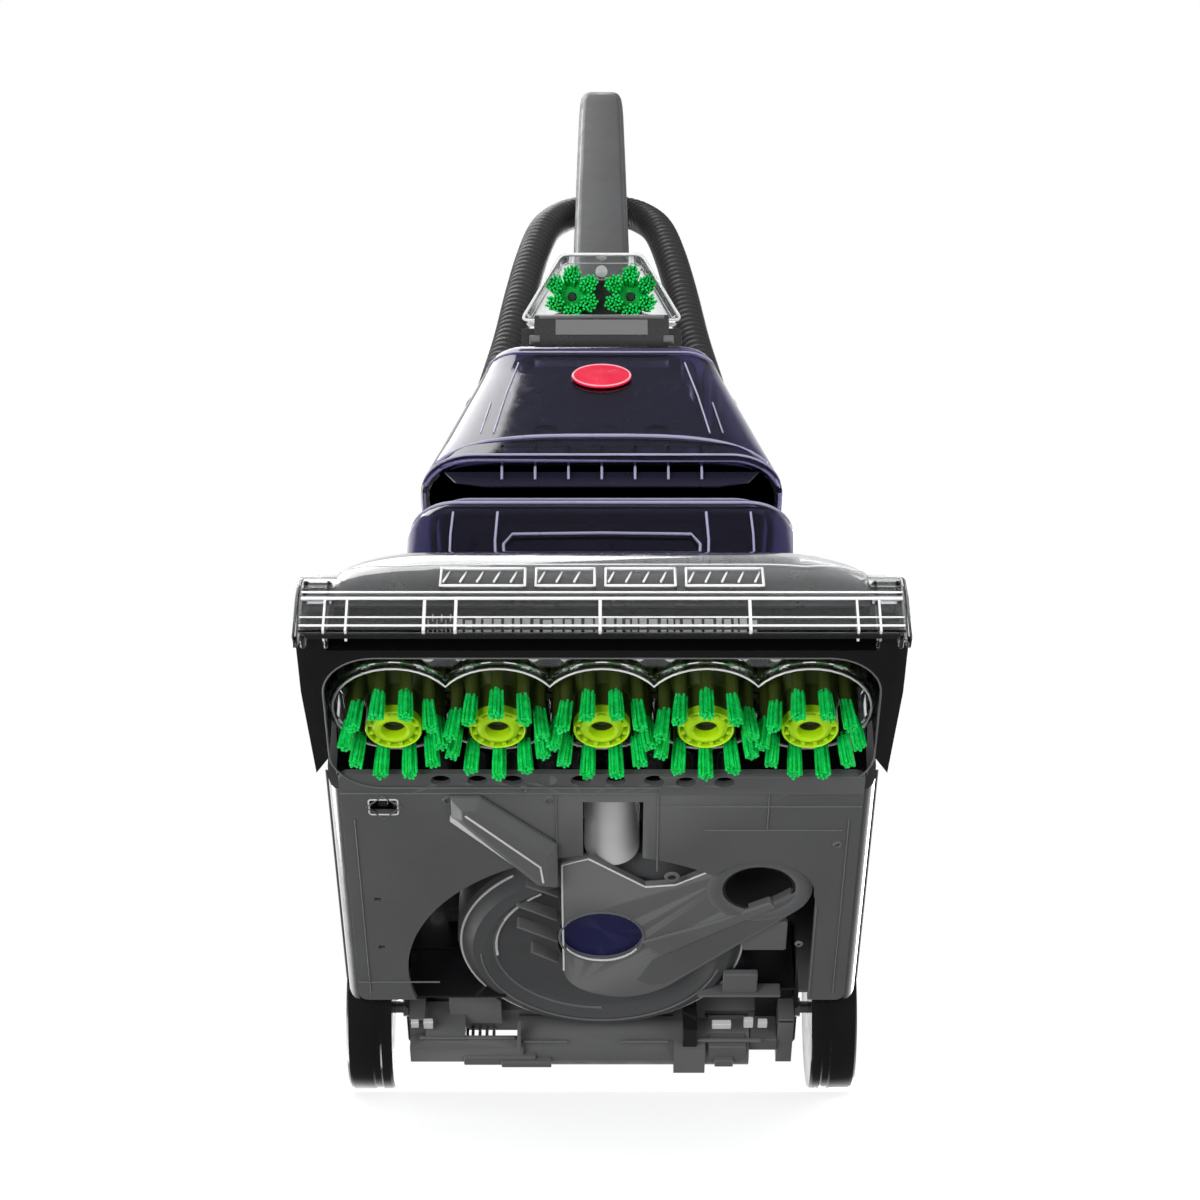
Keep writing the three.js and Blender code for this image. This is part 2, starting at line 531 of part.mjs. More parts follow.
// Duct inside the tub that lifts the dirty water from the throat to the lid.
function riserDuct() {
  const outer = prism([[78, 112], [94, 111], [114, 124], [136, 160], [136, 216], [113, 216], [113, 167], [96, 136], [78, 126]], "x", -72, 72);
  return cut(outer, block(-68, 68, 116, 133, 176, 230));
}
part(baseGroup, "riser_duct", riserDuct(), MATERIAL.darkGrey);

// Front face of the lid leans back as it rises.
const lidFront = (z) => THREE.MathUtils.lerp(85, 141, (z - LID.low) / (372 - LID.low));
const lidHalf = (z) => THREE.MathUtils.lerp(107, 72, THREE.MathUtils.clamp((z - 232) / (372 - 232), 0, 1));
function lidRings(inset, low) {
  const rear = 240;
  const steps = inset ? 1 : 2;
  const ring = (z, f, h, r) => ringAt(roundRect(-h + inset, h - inset, f + inset, rear - inset, r), z, steps);
  return [
    ring(low, lidFront(LID.low), 107, 30),
    ring(232, lidFront(232), 107, 30),
    ring(300, lidFront(300), lidHalf(300), 26),
    ring(358, lidFront(358), lidHalf(358), 22),
    ring(371 - inset * 0.5, lidFront(358) + 5, lidHalf(358) - 4, 22),
    ring(LID.top - inset, lidFront(358) + 15, lidHalf(358) - 13, 18),
  ];
}
const CARRY = { y: 202, z: 395 };
function tankLid() {
  let solid = cut(loft(lidRings(0, LID.low)), loft(lidRings(WALL, LID.low - 1)));
  const bead = cut(
    roundBlock(-109, 109, 83, 242, LID.low, LID.low + 5, 31, "z", 2),
    roundBlock(-105, 105, 88, 238, LID.low - 1, LID.low + 6, 29, "z", 2),
  );
  const ears = [-1, 1].map((s) => {
    const ear = prism([[188, 374], [216, 374], [210, 403], [194, 403]], "x", ...spanX(s, 53, 58));
    return ear;
  });
  const shelf = [-3, -2, -1, 0, 1, 2, 3].map((k) => block(k * 20 - 1, k * 20 + 1, 86, 102, 222, 234));
  solid = join(solid, bead, ...ears, ...shelf);
  return cut(solid, rod(4.4, [-70, CARRY.y, CARRY.z], [70, CARRY.y, CARRY.z], 10));
}
part(baseGroup, "tank_lid", tankLid(), MATERIAL.violet);

function lidGasket() {
  const { neckHalf, neckFront, rear, top } = TANK;
  const ring = (d) => roundBlock(-neckHalf - d, neckHalf + d, neckFront - d, rear - 4 + d, top + GAP, top + 4, 20 + d, "z", 2);
  return cut(ring(0), roundBlock(-86, 86, 112, rear - 10, top - 2, top + 6, 16, "z", 2));
}
part(baseGroup, "lid_gasket", lidGasket(), MATERIAL.rubber);

function carryHandle() {
  const bar = roundBlock(-44, 44, 148, 166, 379, 411, 6, "x", 2);
  const arm = (s) => prism([[160, 384], [196, 388], [206, 387], [210, 395], [206, 403], [196, 403], [160, 407]], "x", ...spanX(s, 44, 52.4));
  const pins = [-1, 1].map((s) => rod(3.9, [s * 52, CARRY.y, CARRY.z], [s * 58, CARRY.y, CARRY.z], 10));
  return join(bar, arm(-1), arm(1), ...pins);
}
part(baseGroup, "carry_handle", carryHandle(), MATERIAL.grey);

// Float cage hangs in the lid; the float rises with the dirty water and shuts off the suction.
const FLOAT = { x: 0, y: 180 };
function floatCage() {
  const tube = turned([[24, 300], [29, 300], [29, 362], [24, 362]], FLOAT.x, FLOAT.y, 14);
  const lower = [0, 1, 2, 3].map((k) => {
    const a = Math.PI / 4 + (k * Math.PI) / 2;
    const p = [FLOAT.x + 26.5 * Math.cos(a), FLOAT.y + 26.5 * Math.sin(a)];
    return rod(2.4, [...p, 235], [...p, 302], 5);
  });
  const foot = turned([[20, 233], [29, 233], [29, 237], [20, 237]], FLOAT.x, FLOAT.y, 14);
  return join(tube, foot, ...lower);
}
part(baseGroup, "float_cage", floatCage(), MATERIAL.black);
const float = turned([[0, 237.4], [14, 237.4], [21, 245], [21, 275], [12, 285], [0, 285]], FLOAT.x, FLOAT.y, 14);
part(baseGroup, "float", float, MATERIAL.lightGrey);

// Plain raised badge on the lid's face, in the plane of the face.
const faceLean = Math.atan2(lidFront(372) - lidFront(LID.low), 372 - LID.low);
const badge = prism(roundRect(-19, 19, -17, 17, 16.8), "y", 0, 1.6, 5)
  .rotate([-THREE.MathUtils.radToDeg(faceLean), 0, 0])
  .translate([0, lidFront(325) - 2.3, 325]);
part(baseGroup, "badge", badge, MATERIAL.red);

// ---------------------------------------------------------------- upright: x, back from the stem's centre, up from the pivot
function lowerFrame() {
  const half = [[118, -22], [118, 268], [114, 299], [80, 299.5], [72, 360], [44, 560]];
  const outline = [...half.map(([x, w]) => [x, w]), ...half.toReversed().map(([x, w]) => [-x, w])];
  const window = prism(roundRect(-99, 99, -60, 140, 20), "y", -60, 60, 3);
  const lighten = prism([[-74, 175], [74, 175], [66, 340], [40, 520], [-40, 520], [-66, 340]], "y", -0.5, 40);
  const back = prism(outline, "y", -8, 22);
  const pins = [-1, 1].map((s) => rod(PIVOT.r, [s * 110, 0, 0], [s * 143.6, 0, 0], 16));
  return join(cut(back, window, lighten), ...pins);
}
part(uprightGroup, "lower_frame", lowerFrame(), MATERIAL.darkGrey);
const rearPanel = cut(
  prism([[-73, 176], [73, 176], [65.5, 340], [39.5, 519], [-39.5, 519], [-65.5, 340]], "y", 18, 22),
  block(-10, 10, 10, 30, 480, 500),
);
part(uprightGroup, "frame_back_panel", rearPanel, MATERIAL.grey);

const STEM = { low: 560.5, high: 905 };
function stem() {
  const ring = (half, front, back, w) => ringAt(roundRect(-half, half, front, back, 6), w, 2);
  return loft([ring(23, -19, 20, STEM.low), ring(21, -19, 20, 700), ring(18.5, -19, 20, 862), ring(17, -18, 20, 892), ring(13, -12, 18, STEM.high)]);
}
part(uprightGroup, "stem", stem(), MATERIAL.midGrey);
function stemFace() {
  const ring = (half, w, v = -19.4) => [[-half, v - 3, w], [half, v - 3, w], [half + 1, v, w], [-half - 1, v, w]];
  return loft([ring(19, 470), ring(19, STEM.low), ring(17.5, 700), ring(15, 862), ring(13, 884)]);
}
part(uprightGroup, "stem_face", stemFace(), MATERIAL.grey);

// Closed grip that reaches back from the top of the stem, with room for four fingers.
function grip() {
  const outer = roundBlock(-15, 15, 20.4, 112, 828, 904, 22, "x", 3);
  const hole = roundBlock(-20, 20, 31, 92, 848, 879, 12, "x", 3);
  const rocker = block(-8, 8, 62, 86, 897, 912);
  const triggerSlot = block(-9.5, 9.5, 41, 88, 870, 888);
  return cut(outer, hole, rocker, triggerSlot);
}
part(uprightGroup, "grip", grip(), MATERIAL.darkGrey);
const TRIGGER = { v: 46, w: 876 };
const trigger = join(
  prism([[-3, 2.2], [34, 2.2], [34, -1], [26, -7], [10, -6], [-3, -3]], "x", -8, 8),
).translate([0, TRIGGER.v, TRIGGER.w - 0.6]);
part(uprightGroup, "spray_trigger", trigger, MATERIAL.lime);
const SWITCH = { v: 74, w: 901.5 };
const rocker = prism([[-10.5, 2], [0, 3.2], [10.5, 5.2], [10.5, 1], [4, -3], [-4, -3], [-10.5, -1]], "x", -7.4, 7.4);
part(uprightGroup, "power_switch", rocker.translate([0, SWITCH.v, SWITCH.w]), MATERIAL.red);

// Hose: up one side from its socket, behind the stem and down the other side.
const hoseHalf = [[86.4, 12, HOSE.end], [83.4, 12, 480], [71, 12, 560], [63, 13, 630], [55, 15, 690], [46, 20, 738], [33, 29, 772],
  [17, 35, 791], [0, 36.5, 797]];
const hosePoints = [...hoseHalf.map(([x, v, w]) => [-x, v, w]), ...hoseHalf.slice(0, -1).toReversed()];
function hose() {
  const curve = new THREE.CatmullRomCurve3(hosePoints.map((p) => new THREE.Vector3(...p)), false, "centripetal");
  const section = new THREE.Shape().absarc(0, 0, HOSE.r, 0, Math.PI * 2);
  return toSolid(new THREE.ExtrudeGeometry(section, { steps: 30, extrudePath: curve, curveSegments: 4 }));
}
part(uprightGroup, "hose", hose(), MATERIAL.hose);
for (const [side, sign] of sides) {
  const foot = rod(17.5, [sign * 100.5, 12, 301.6], [sign * 88, 12, 428], 14);
  const cup = rod(17.5, [sign * 88, 12, 428], [sign * 84, 12, 474], 14);
  const seat = rod(HOSE.r + 1.4, [sign * 86.5, 12, HOSE.end - 0.8], [sign * 81.7, 12, 500], 14);
  part(uprightGroup, `hose_socket_${side}`, cut(join(foot, cup), seat), MATERIAL.rubber);
}
const hoseHook = join(block(-9, 9, 20.4, 58, 764, 772), block(-9, 9, 52, 58, 770, 790), block(-9, 9, 20.4, 24.4, 740, 770));
part(uprightGroup, "hose_hook", hoseHook, MATERIAL.darkGrey);

// Powered hand tool, parked head up in front of the frame, its mouth facing forward and down.
const TOOL = { v: -70, w: 512, tilt: 46 };
function toolHead(solid) {
  return solid.rotate([TOOL.tilt, 0, 0]).translate([0, TOOL.v, TOOL.w]);
}
function toolHood() {
  const ring = (halfTop, halfLow, top, low, y) => [[-halfLow, y, low], [halfLow, y, low], [halfTop, y, top], [-halfTop, y, top]];
  const shell = (d) => {
    const rings = [
      ring(20 - d, 29 - d, 15 - d, -18 + d, 24 - d),
      ring(30 - d, 56 - d, 20 - d, -28 + d, -4),
      ring(30 - d, 59 - d, 20 - d, -30 + d, -34 - d),
    ];
    return loft(rings.map((r) => r.map(([x, y, z]) => [x, z, -y]))).rotate([90, 0, 0]);
  };
  return [shell(0), shell(2.4), shell(-0.4)].map(toolHead);
}
const [hoodOuter, hoodInner, hoodClearance] = toolHood();
part(uprightGroup, "tool_hood", cut(hoodOuter, hoodInner), MATERIAL.clear);
const TOOL_BRUSH = { x: 21.5, z: -8, r: 15.5, tufts: 6 };
function toolBrush() {
  let solid = rod(13, [0, -6, 0], [0, -12, 0], 14);
  for (let k = 0; k < TOOL_BRUSH.tufts; k++) {
    const a = ((k + 0.5) * 2 * Math.PI) / TOOL_BRUSH.tufts;
    const [x, z] = [TOOL_BRUSH.r * Math.cos(a), TOOL_BRUSH.r * Math.sin(a)];
    solid = join(solid, rod(3, [x * 0.86, -8, z * 0.86], [x, -28, z], 4, 2.6));
  }
  return cut(solid, rod(3.4, [0, 0, 0], [0, -30, 0], 10));
}
for (const [side, sign] of sides) part(uprightGroup, `tool_brush_${side}`, toolHead(toolBrush().translate([sign * TOOL_BRUSH.x, 0, TOOL_BRUSH.z])), MATERIAL.bristle);
const toolPlate = join(
  roundBlock(-30, 30, -3.6, 3, -22, 6, 5, "y", 2),
  rod(3, [-TOOL_BRUSH.x, -12, TOOL_BRUSH.z], [-TOOL_BRUSH.x, 0, TOOL_BRUSH.z], 8),
  rod(3, [TOOL_BRUSH.x, -12, TOOL_BRUSH.z], [TOOL_BRUSH.x, 0, TOOL_BRUSH.z], 8),
);
part(uprightGroup, "tool_gearcase", toolHead(toolPlate), MATERIAL.darkGrey);
const toolBody = cut(
  join(rod(20, [0, -52, 496], [0, -32, 420], 16, 17), rod(17, [0, -32.5, 424], [0, -30, 330], 16, 15)),
  hoodClearance,
);
part(uprightGroup, "tool_body", toolBody, MATERIAL.darkGrey);
const toolDock = cut(
  join(roundBlock(-26, 26, -54, -8.4, 356, 378, 8, "z", 2), block(-30, 30, -12, -8.4, 340, 396)),
  rod(18, [0, -32, 330], [0, -32.5, 400], 16),
  block(-10, 10, -64, -36, 350, 390),
);
part(uprightGroup, "tool_dock", toolDock, MATERIAL.black);

// Clean solution tank on the back of the upright; it lifts off along the lean.
function solutionTank() {
  const { half, front, rear, low, high } = SOLUTION;
  const rings = (inset, steps) => {
    const ring = (h, d, w, r) => ringAt(roundRect(-h + inset, h - inset, front + d + inset, rear - d - inset, r), w, steps);
    return loft([
      ring(half - 12, 8, low + inset, 14),
      ring(half, 0, low + 14 + inset, 18),
      ring(half, 0, 360, 18),
      ring(half - 12, 3, high - 18, 18),
      ring(half - 24, 12, high - inset, 14),
    ]);
  };
  const neck = rod(19, [0, 68, high - 2], [0, 68, high + 8], 16);
  return cut(join(rings(0, 2), neck), rings(WALL, 1), rod(16, [0, 68, high - 8], [0, 68, high + 10], 16));
}
part(uprightGroup, "solution_tank", solutionTank(), MATERIAL.violet);
const cap = cut(
  rod(24, [0, 68, SOLUTION.high + 0.6], [0, 68, SOLUTION.high + 15], 20),
  rod(19.9, [0, 68, SOLUTION.high - 1], [0, 68, SOLUTION.high + 8.5], 16),
);
part(uprightGroup, "solution_cap", join(cap, block(-20, 20, 65, 71, SOLUTION.high + 14, SOLUTION.high + 20)), MATERIAL.grey);
const tankShelf = join(block(-60, 60, 22.4, 96, 181, 189.4), block(-60, 60, 22.4, 28, 150, 182), rod(9, [0, 68, 162], [0, 68, 182], 12));
part(uprightGroup, "solution_shelf", tankShelf, MATERIAL.darkGrey);

// Cord hooks, the upper one turning to let the cord drop, and the gland where the cord enters.
const CORD_HOOK = { w: 716 };
const hook = join(rod(7, [0, 20.6, CORD_HOOK.w], [0, 34, CORD_HOOK.w], 16), block(-6, 6, 34, 41, CORD_HOOK.w - 7, CORD_HOOK.w + 26), block(-6, 6, 40, 46, CORD_HOOK.w + 10, CORD_HOOK.w + 26));
part(uprightGroup, "cord_hook_upper", hook, MATERIAL.black);
const gland = join(rod(9, [88, 22.3, 168], [88, 30, 168], 12), rod(6.5, [88, 29, 168], [88, 44, 168], 12, 5));
part(uprightGroup, "cord_gland", cut(gland, rod(3.4, [88, 26, 168], [88, 60, 168], 8)), MATERIAL.rubber);

export default machine;
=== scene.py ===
import json
import math
import random

import bmesh
import bpy
from mathutils import Matrix, Vector


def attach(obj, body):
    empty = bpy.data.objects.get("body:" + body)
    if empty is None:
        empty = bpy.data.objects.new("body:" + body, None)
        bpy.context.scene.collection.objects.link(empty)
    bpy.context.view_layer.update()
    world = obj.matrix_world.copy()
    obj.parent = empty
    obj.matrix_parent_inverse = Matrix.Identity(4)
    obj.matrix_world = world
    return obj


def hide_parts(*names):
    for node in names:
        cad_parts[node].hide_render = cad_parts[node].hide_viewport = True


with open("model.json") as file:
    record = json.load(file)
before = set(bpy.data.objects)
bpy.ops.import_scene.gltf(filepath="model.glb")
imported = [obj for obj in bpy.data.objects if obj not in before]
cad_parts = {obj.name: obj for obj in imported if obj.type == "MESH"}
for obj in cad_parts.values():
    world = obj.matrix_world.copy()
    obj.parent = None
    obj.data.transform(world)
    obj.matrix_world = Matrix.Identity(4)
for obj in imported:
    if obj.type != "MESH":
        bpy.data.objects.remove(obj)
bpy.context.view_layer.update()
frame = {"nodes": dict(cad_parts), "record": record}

scene = bpy.context.scene
random.seed(7)

# ------------------------------------------------------------------ frames
# Pieces are built in millimetres: BASE has y measured back from the nozzle's front edge, UPRIGHT has its
# origin at the recline pivot with z along the leaning stem, and TOOL is the parked hand tool's own frame.
ORIGIN_Y = 281.85
LEAN = math.radians(10)
MM = Matrix.Scale(0.001, 4)
BASE = Matrix.Translation((0, -ORIGIN_Y / 1000, 0)) @ MM
UPRIGHT = Matrix.Translation((0, (300 - ORIGIN_Y) / 1000, 0.1)) @ Matrix.Rotation(-LEAN, 4, "X") @ MM
TOOL = UPRIGHT @ Matrix.Translation((0, -70, 512)) @ Matrix.Rotation(math.radians(46), 4, "X")


# ------------------------------------------------------------------ materials
def new_material(name):
    mat = bpy.data.materials.new(name)
    mat.use_nodes = True
    return mat, mat.node_tree.nodes, mat.node_tree.links, mat.node_tree.nodes["Principled BSDF"]


def noise(nodes, links, scale, detail=3.0, stretch=(1, 1, 1)):
    coord = nodes.new("ShaderNodeTexCoord")
    mapping = nodes.new("ShaderNodeMapping")
    mapping.inputs["Scale"].default_value = stretch
    tex = nodes.new("ShaderNodeTexNoise")
    tex.inputs["Scale"].default_value = scale
    tex.inputs["Detail"].default_value = detail
    links.new(coord.outputs["Object"], mapping.inputs["Vector"])
    links.new(mapping.outputs["Vector"], tex.inputs["Vector"])
    return tex.outputs["Fac"]


def remap(nodes, links, value, low, high, a=0.3, b=0.7):
    node = nodes.new("ShaderNodeMapRange")
    node.inputs["From Min"].default_value = a
    node.inputs["From Max"].default_value = b
    node.inputs["To Min"].default_value = low
    node.inputs["To Max"].default_value = high
    links.new(value, node.inputs["Value"])
    return node.outputs["Result"]


def two_tone(nodes, links, factor, dark, light):
    ramp = nodes.new("ShaderNodeValToRGB")
    ramp.color_ramp.elements[0].position = 0.3
    ramp.color_ramp.elements[1].position = 0.7
    ramp.color_ramp.elements[0].color = (*dark, 1)
    ramp.color_ramp.elements[1].color = (*light, 1)
    links.new(factor, ramp.inputs["Fac"])
    return ramp.outputs["Color"]


def bump(nodes, links, shader, height, strength, distance=0.0002):
    node = nodes.new("ShaderNodeBump")
    node.inputs["Strength"].default_value = strength
    node.inputs["Distance"].default_value = distance
    links.new(height, node.inputs["Height"])
    links.new(node.outputs["Normal"], shader.inputs["Normal"])


def moulded(name, color, rough=0.42, vary=0.08, grain=0.25, wear=0.35, metallic=0.0, coat=0.0, brushed=False):
    """Injection-moulded or metal surface: fine grain, cloudy colour, faint scuffs and paler worn edges."""
    mat, nodes, links, shader = new_material(name)
    dark = [c * (1 - vary) for c in color]
    light = [min(1, c * (1 + vary)) for c in color]
    base = two_tone(nodes, links, noise(nodes, links, 14, 4), dark, light)
    pointy = nodes.new("ShaderNodeNewGeometry").outputs["Pointiness"]
    edge = remap(nodes, links, pointy, 0, wear, 0.53, 0.62)
    mix = nodes.new("ShaderNodeMix")
    mix.data_type = "RGBA"
    mix.inputs["B"].default_value = (*[min(1, c * 1.6 + 0.06) for c in color], 1)
    links.new(edge, mix.inputs["Factor"])
    links.new(base, mix.inputs["A"])
    links.new(mix.outputs["Result"], shader.inputs["Base Color"])
    stretch = (1, 1, 30) if brushed else (1, 1, 1)
    scuff = noise(nodes, links, 90, 6, stretch)
    links.new(remap(nodes, links, scuff, rough - 0.06, rough + 0.1), shader.inputs["Roughness"])
    bump(nodes, links, shader, noise(nodes, links, 1500, 2), grain)
    shader.inputs["Metallic"].default_value = metallic
    shader.inputs["Coat Weight"].default_value = coat
    shader.inputs["Coat Roughness"].default_value = 0.12
    return mat


def transparent(name, color, rough=0.03, ripple=0.08, density=0.0, ior=1.49):
    """Clear or tinted moulding with slight flow ripples and fine surface haze."""
    mat, nodes, links, shader = new_material(name)
    dark = [c * 0.9 for c in color]
    links.new(two_tone(nodes, links, noise(nodes, links, 9, 2), dark, color), shader.inputs["Base Color"])
    shader.inputs["Transmission Weight"].default_value = 1.0
    shader.inputs["IOR"].default_value = ior
    haze = noise(nodes, links, 160, 5)
    links.new(remap(nodes, links, haze, rough, rough + 0.05), shader.inputs["Roughness"])
    bump(nodes, links, shader, noise(nodes, links, 22, 2), ripple, 0.002)
    return mat


def bristle_green(name, dark, light):
    mat, nodes, links, shader = new_material(name)
    links.new(two_tone(nodes, links, noise(nodes, links, 240, 3), dark, light), shader.inputs["Base Color"])
    shader.inputs["Subsurface Weight"].default_value = 0.35
    shader.inputs["Subsurface Radius"].default_value = (0.001, 0.004, 0.001)
    shader.inputs["Subsurface Scale"].default_value = 1.0
    shader.inputs["Transmission Weight"].default_value = 0.15
    sheen = noise(nodes, links, 700, 2)
    links.new(remap(nodes, links, sheen, 0.25, 0.42), shader.inputs["Roughness"])
    bump(nodes, links, shader, noise(nodes, links, 900, 1, (1, 1, 0.1)), 0.3)
    return mat


MAT = {
    "housing_plastic": moulded("charcoal_plastic", (0.05, 0.051, 0.053), 0.4),
    "grey_plastic": moulded("grey_plastic", (0.07, 0.071, 0.073), 0.42),
    "mid_grey_plastic": moulded("mid_grey_plastic", (0.085, 0.086, 0.088), 0.4),
    "light_grey_plastic": moulded("light_grey_plastic", (0.42, 0.42, 0.425), 0.35),
    "black_plastic": moulded("black_plastic", (0.0035, 0.0035, 0.004), 0.16, grain=0.06, wear=0.15, coat=0.3),
    "lime_plastic": moulded("lime_plastic", (0.36, 0.6, 0.003), 0.32, vary=0.1, grain=0.1, wear=0.1),
    "green_bristle": bristle_green("green_bristle", (0.0, 0.46, 0.06), (0.01, 0.8, 0.15)),
    "red_plastic": moulded("red_plastic", (0.68, 0.008, 0.045), 0.2, grain=0.05, wear=0.1, coat=0.6),
    "clear_plastic": transparent("clear_plastic", (0.96, 0.97, 0.98)),
    "violet_plastic": transparent("violet_plastic", (0.17, 0.16, 0.31), ripple=0.05),
    "black_rubber": moulded("black_rubber", (0.012, 0.012, 0.0125), 0.6, grain=0.35),
    "hose_vinyl": moulded("hose_vinyl", (0.03, 0.03, 0.031), 0.42, grain=0.15, wear=0.5),
    "steel": moulded("steel", (0.56, 0.57, 0.58), 0.3, metallic=1, grain=0.1, brushed=True),
    "motor_can": moulded("motor_can", (0.5, 0.5, 0.51), 0.35, metallic=1, grain=0.1, brushed=True),
}
SLOT_OF = {s["node"]: s["material_slot"] for s in frame["record"]["subparts"]}
BODY_OF = {n: b for b, ns in frame["record"]["behaviour"]["bodies"].items() for n in ns}


# ------------------------------------------------------------------ shapes: (vertices, faces) in millimetres
def merge(*shapes):
    verts, faces = [], []
    for v, f in shapes:
        base = len(verts)
        verts += [tuple(p) for p in v]
        faces += [tuple(i + base for i in face) for face in f]
    return verts, faces


def moved(shape, matrix):
    return [tuple(matrix @ Vector(p)) for p in shape[0]], shape[1]


def at(x, y, z):
    return Matrix.Translation((x, y, z))


def rect(x0, x1, y0, y1, r=0.0, n=6):
    if not r:
        return [(x0, y0), (x1, y0), (x1, y1), (x0, y1)]
    corners = [(x1 - r, y0 + r, -90), (x1 - r, y1 - r, 0), (x0 + r, y1 - r, 90), (x0 + r, y0 + r, 180)]
    out = []
    for cx, cy, start in corners:
        for k in range(n + 1):
            a = math.radians(start + 90 * k / n)
            out.append((cx + r * math.cos(a), cy + r * math.sin(a)))
    return out


def arc(cx, cy, r, a0=0.0, a1=360.0, n=48):
    whole = abs(a1 - a0) >= 360
    steps = n if whole else n + 1
    angles = [math.radians(a0 + (a1 - a0) * k / n) for k in range(steps)]
    return [(cx + r * math.cos(a), cy + r * math.sin(a)) for a in angles]


def prism(outline, low, high, axis="z"):
    place = {"z": lambda a, b, t: (a, b, t), "x": lambda a, b, t: (t, a, b), "y": lambda a, b, t: (a, t, b)}[axis]
    n = len(outline)
    verts = [place(a, b, low) for a, b in outline] + [place(a, b, high) for a, b in outline]
    faces = [tuple(range(n))[::-1], tuple(range(n, 2 * n))]
    faces += [(i, (i + 1) % n, n + (i + 1) % n, n + i) for i in range(n)]
    return verts, faces


def block(x0, x1, y0, y1, z0, z1):
    return prism(rect(x0, x1, y0, y1), z0, z1)


def loft(rings, caps=True, loop=False, wrap=True):
    n = len(rings[0])
    verts = [tuple(p) for ring in rings for p in ring]
    faces = []
    count = len(rings)
    for k in range(count if loop else count - 1):
        a, b = k * n, ((k + 1) % count) * n
        for i in range(n if wrap else n - 1):
            j = (i + 1) % n
            faces.append((a + i, a + j, b + j, b + i))
    if caps and not loop:
        faces += [tuple(range(n))[::-1], tuple(range((count - 1) * n, count * n))]
    return verts, faces


def lathe(profile, n=64, centre=(0, 0), loop=True):
    """Profile of (radius, z) turned about a vertical line; a closed profile makes a ring."""
    cx, cy = centre
    angles = [2 * math.pi * k / n for k in range(n)]
    rings = [[(cx + r * math.cos(a), cy + r * math.sin(a), z) for a in angles] for r, z in profile]
    return loft(rings, caps=not loop, loop=loop)


def rod(r, a, b, n=32, end=None):
    return sweep([a, b], lambda t: r + ((end if end is not None else r) - r) * t, n)


def sweep(points, radius, n=16, loop=False, section=None):
    """A tube along points; radius is a number or a function of the share of the way along."""
    pts = [Vector(p) for p in points]
    m = len(pts)
    tangents = []
    for i in range(m):
        before = pts[i - 1] if i or loop else pts[0]
        after = pts[(i + 1) % m] if i < m - 1 or loop else pts[-1]
        tangents.append((after - before).normalized())
    side = tangents[0].orthogonal().normalized()
    rings = []
    for i, (p, t) in enumerate(zip(pts, tangents)):
        side = (side - t * side.dot(t)).normalized()
        up = t.cross(side)
        r = radius(i / max(1, m - 1)) if callable(radius) else radius
        shape = section or [(math.cos(2 * math.pi * k / n), math.sin(2 * math.pi * k / n)) for k in range(n)]
        rings.append([p + side * (x * r) + up * (y * r) for x, y in shape])
    return loft(rings, caps=not loop, loop=loop)


def catmull(points, per=12):
    pts = [Vector(p) for p in points]
    pts = [pts[0] * 2 - pts[1]] + pts + [pts[-1] * 2 - pts[-2]]
    out = []
    for i in range(1, len(pts) - 2):
        a, b, c, d = pts[i - 1 : i + 3]
        for k in range(per):
            t = k / per
            out.append(
                0.5 * ((2 * b) + (c - a) * t + (2 * a - 5 * b + 4 * c - d) * t**2 + (3 * b - a - 3 * c + d) * t**3)
            )
    return out + [pts[-2]]


# ------------------------------------------------------------------ objects
def clean(mesh):
    bm = bmesh.new()
    bm.from_mesh(mesh)
    bmesh.ops.remove_doubles(bm, verts=bm.verts, dist=2e-7)
    bmesh.ops.recalc_face_normals(bm, faces=bm.faces)
    bm.to_mesh(mesh)
    bm.free()


def raw(name, shape, matrix=BASE):
    mesh = bpy.data.meshes.new(name)
    mesh.from_pydata([matrix @ Vector(p) for p in shape[0]], [], [tuple(f) for f in shape[1]])
    clean(mesh)
    obj = bpy.data.objects.new(name, mesh)
    scene.collection.objects.link(obj)
    return obj


def carve(obj, *tools, operation="DIFFERENCE"):
    for tool in tools:
        mod = obj.modifiers.new("carve", "BOOLEAN")
        mod.object = tool
        mod.operation = operation
        mod.solver = "EXACT"
    graph = bpy.context.evaluated_depsgraph_get()
    graph.update()
    mesh = bpy.data.meshes.new_from_object(obj.evaluated_get(graph))
    obj.modifiers.clear()
    obj.data = mesh
    for tool in tools:
        bpy.data.objects.remove(tool, do_unlink=True)
    return obj


def finish(obj, body, slot=None, replaces=(), bevel=0.0, segments=2, angle=38, mat=None, sub=0):
    """Material, smooth shading with crisp edges, small moulded edge radii, and the body that it rides on."""
    mesh = obj.data
    mesh.materials.clear()
    mesh.materials.append(mat or MAT[slot])
    mesh.polygons.foreach_set("use_smooth", [True] * len(mesh.polygons))
    mesh.set_sharp_from_angle(angle=math.radians(angle))
    if bevel:
        mod = obj.modifiers.new("edges", "BEVEL")
        mod.width = bevel / 1000
        mod.segments = segments
        mod.limit_method = "ANGLE"
        mod.angle_limit = math.radians(angle)
        mod.harden_normals = False
    if sub:
        mod = obj.modifiers.new("smooth", "SUBSURF")
        mod.levels = mod.render_levels = sub
    if bevel:
        obj.modifiers.new("normals", "WEIGHTED_NORMAL").keep_sharp = True
    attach(obj, body)
    if replaces:
        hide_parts(*replaces)
    return obj


def piece(name, shape, body, slot, replaces=(), matrix=BASE, **look):
    return finish(raw(name, shape, matrix), body, slot, replaces, **look)


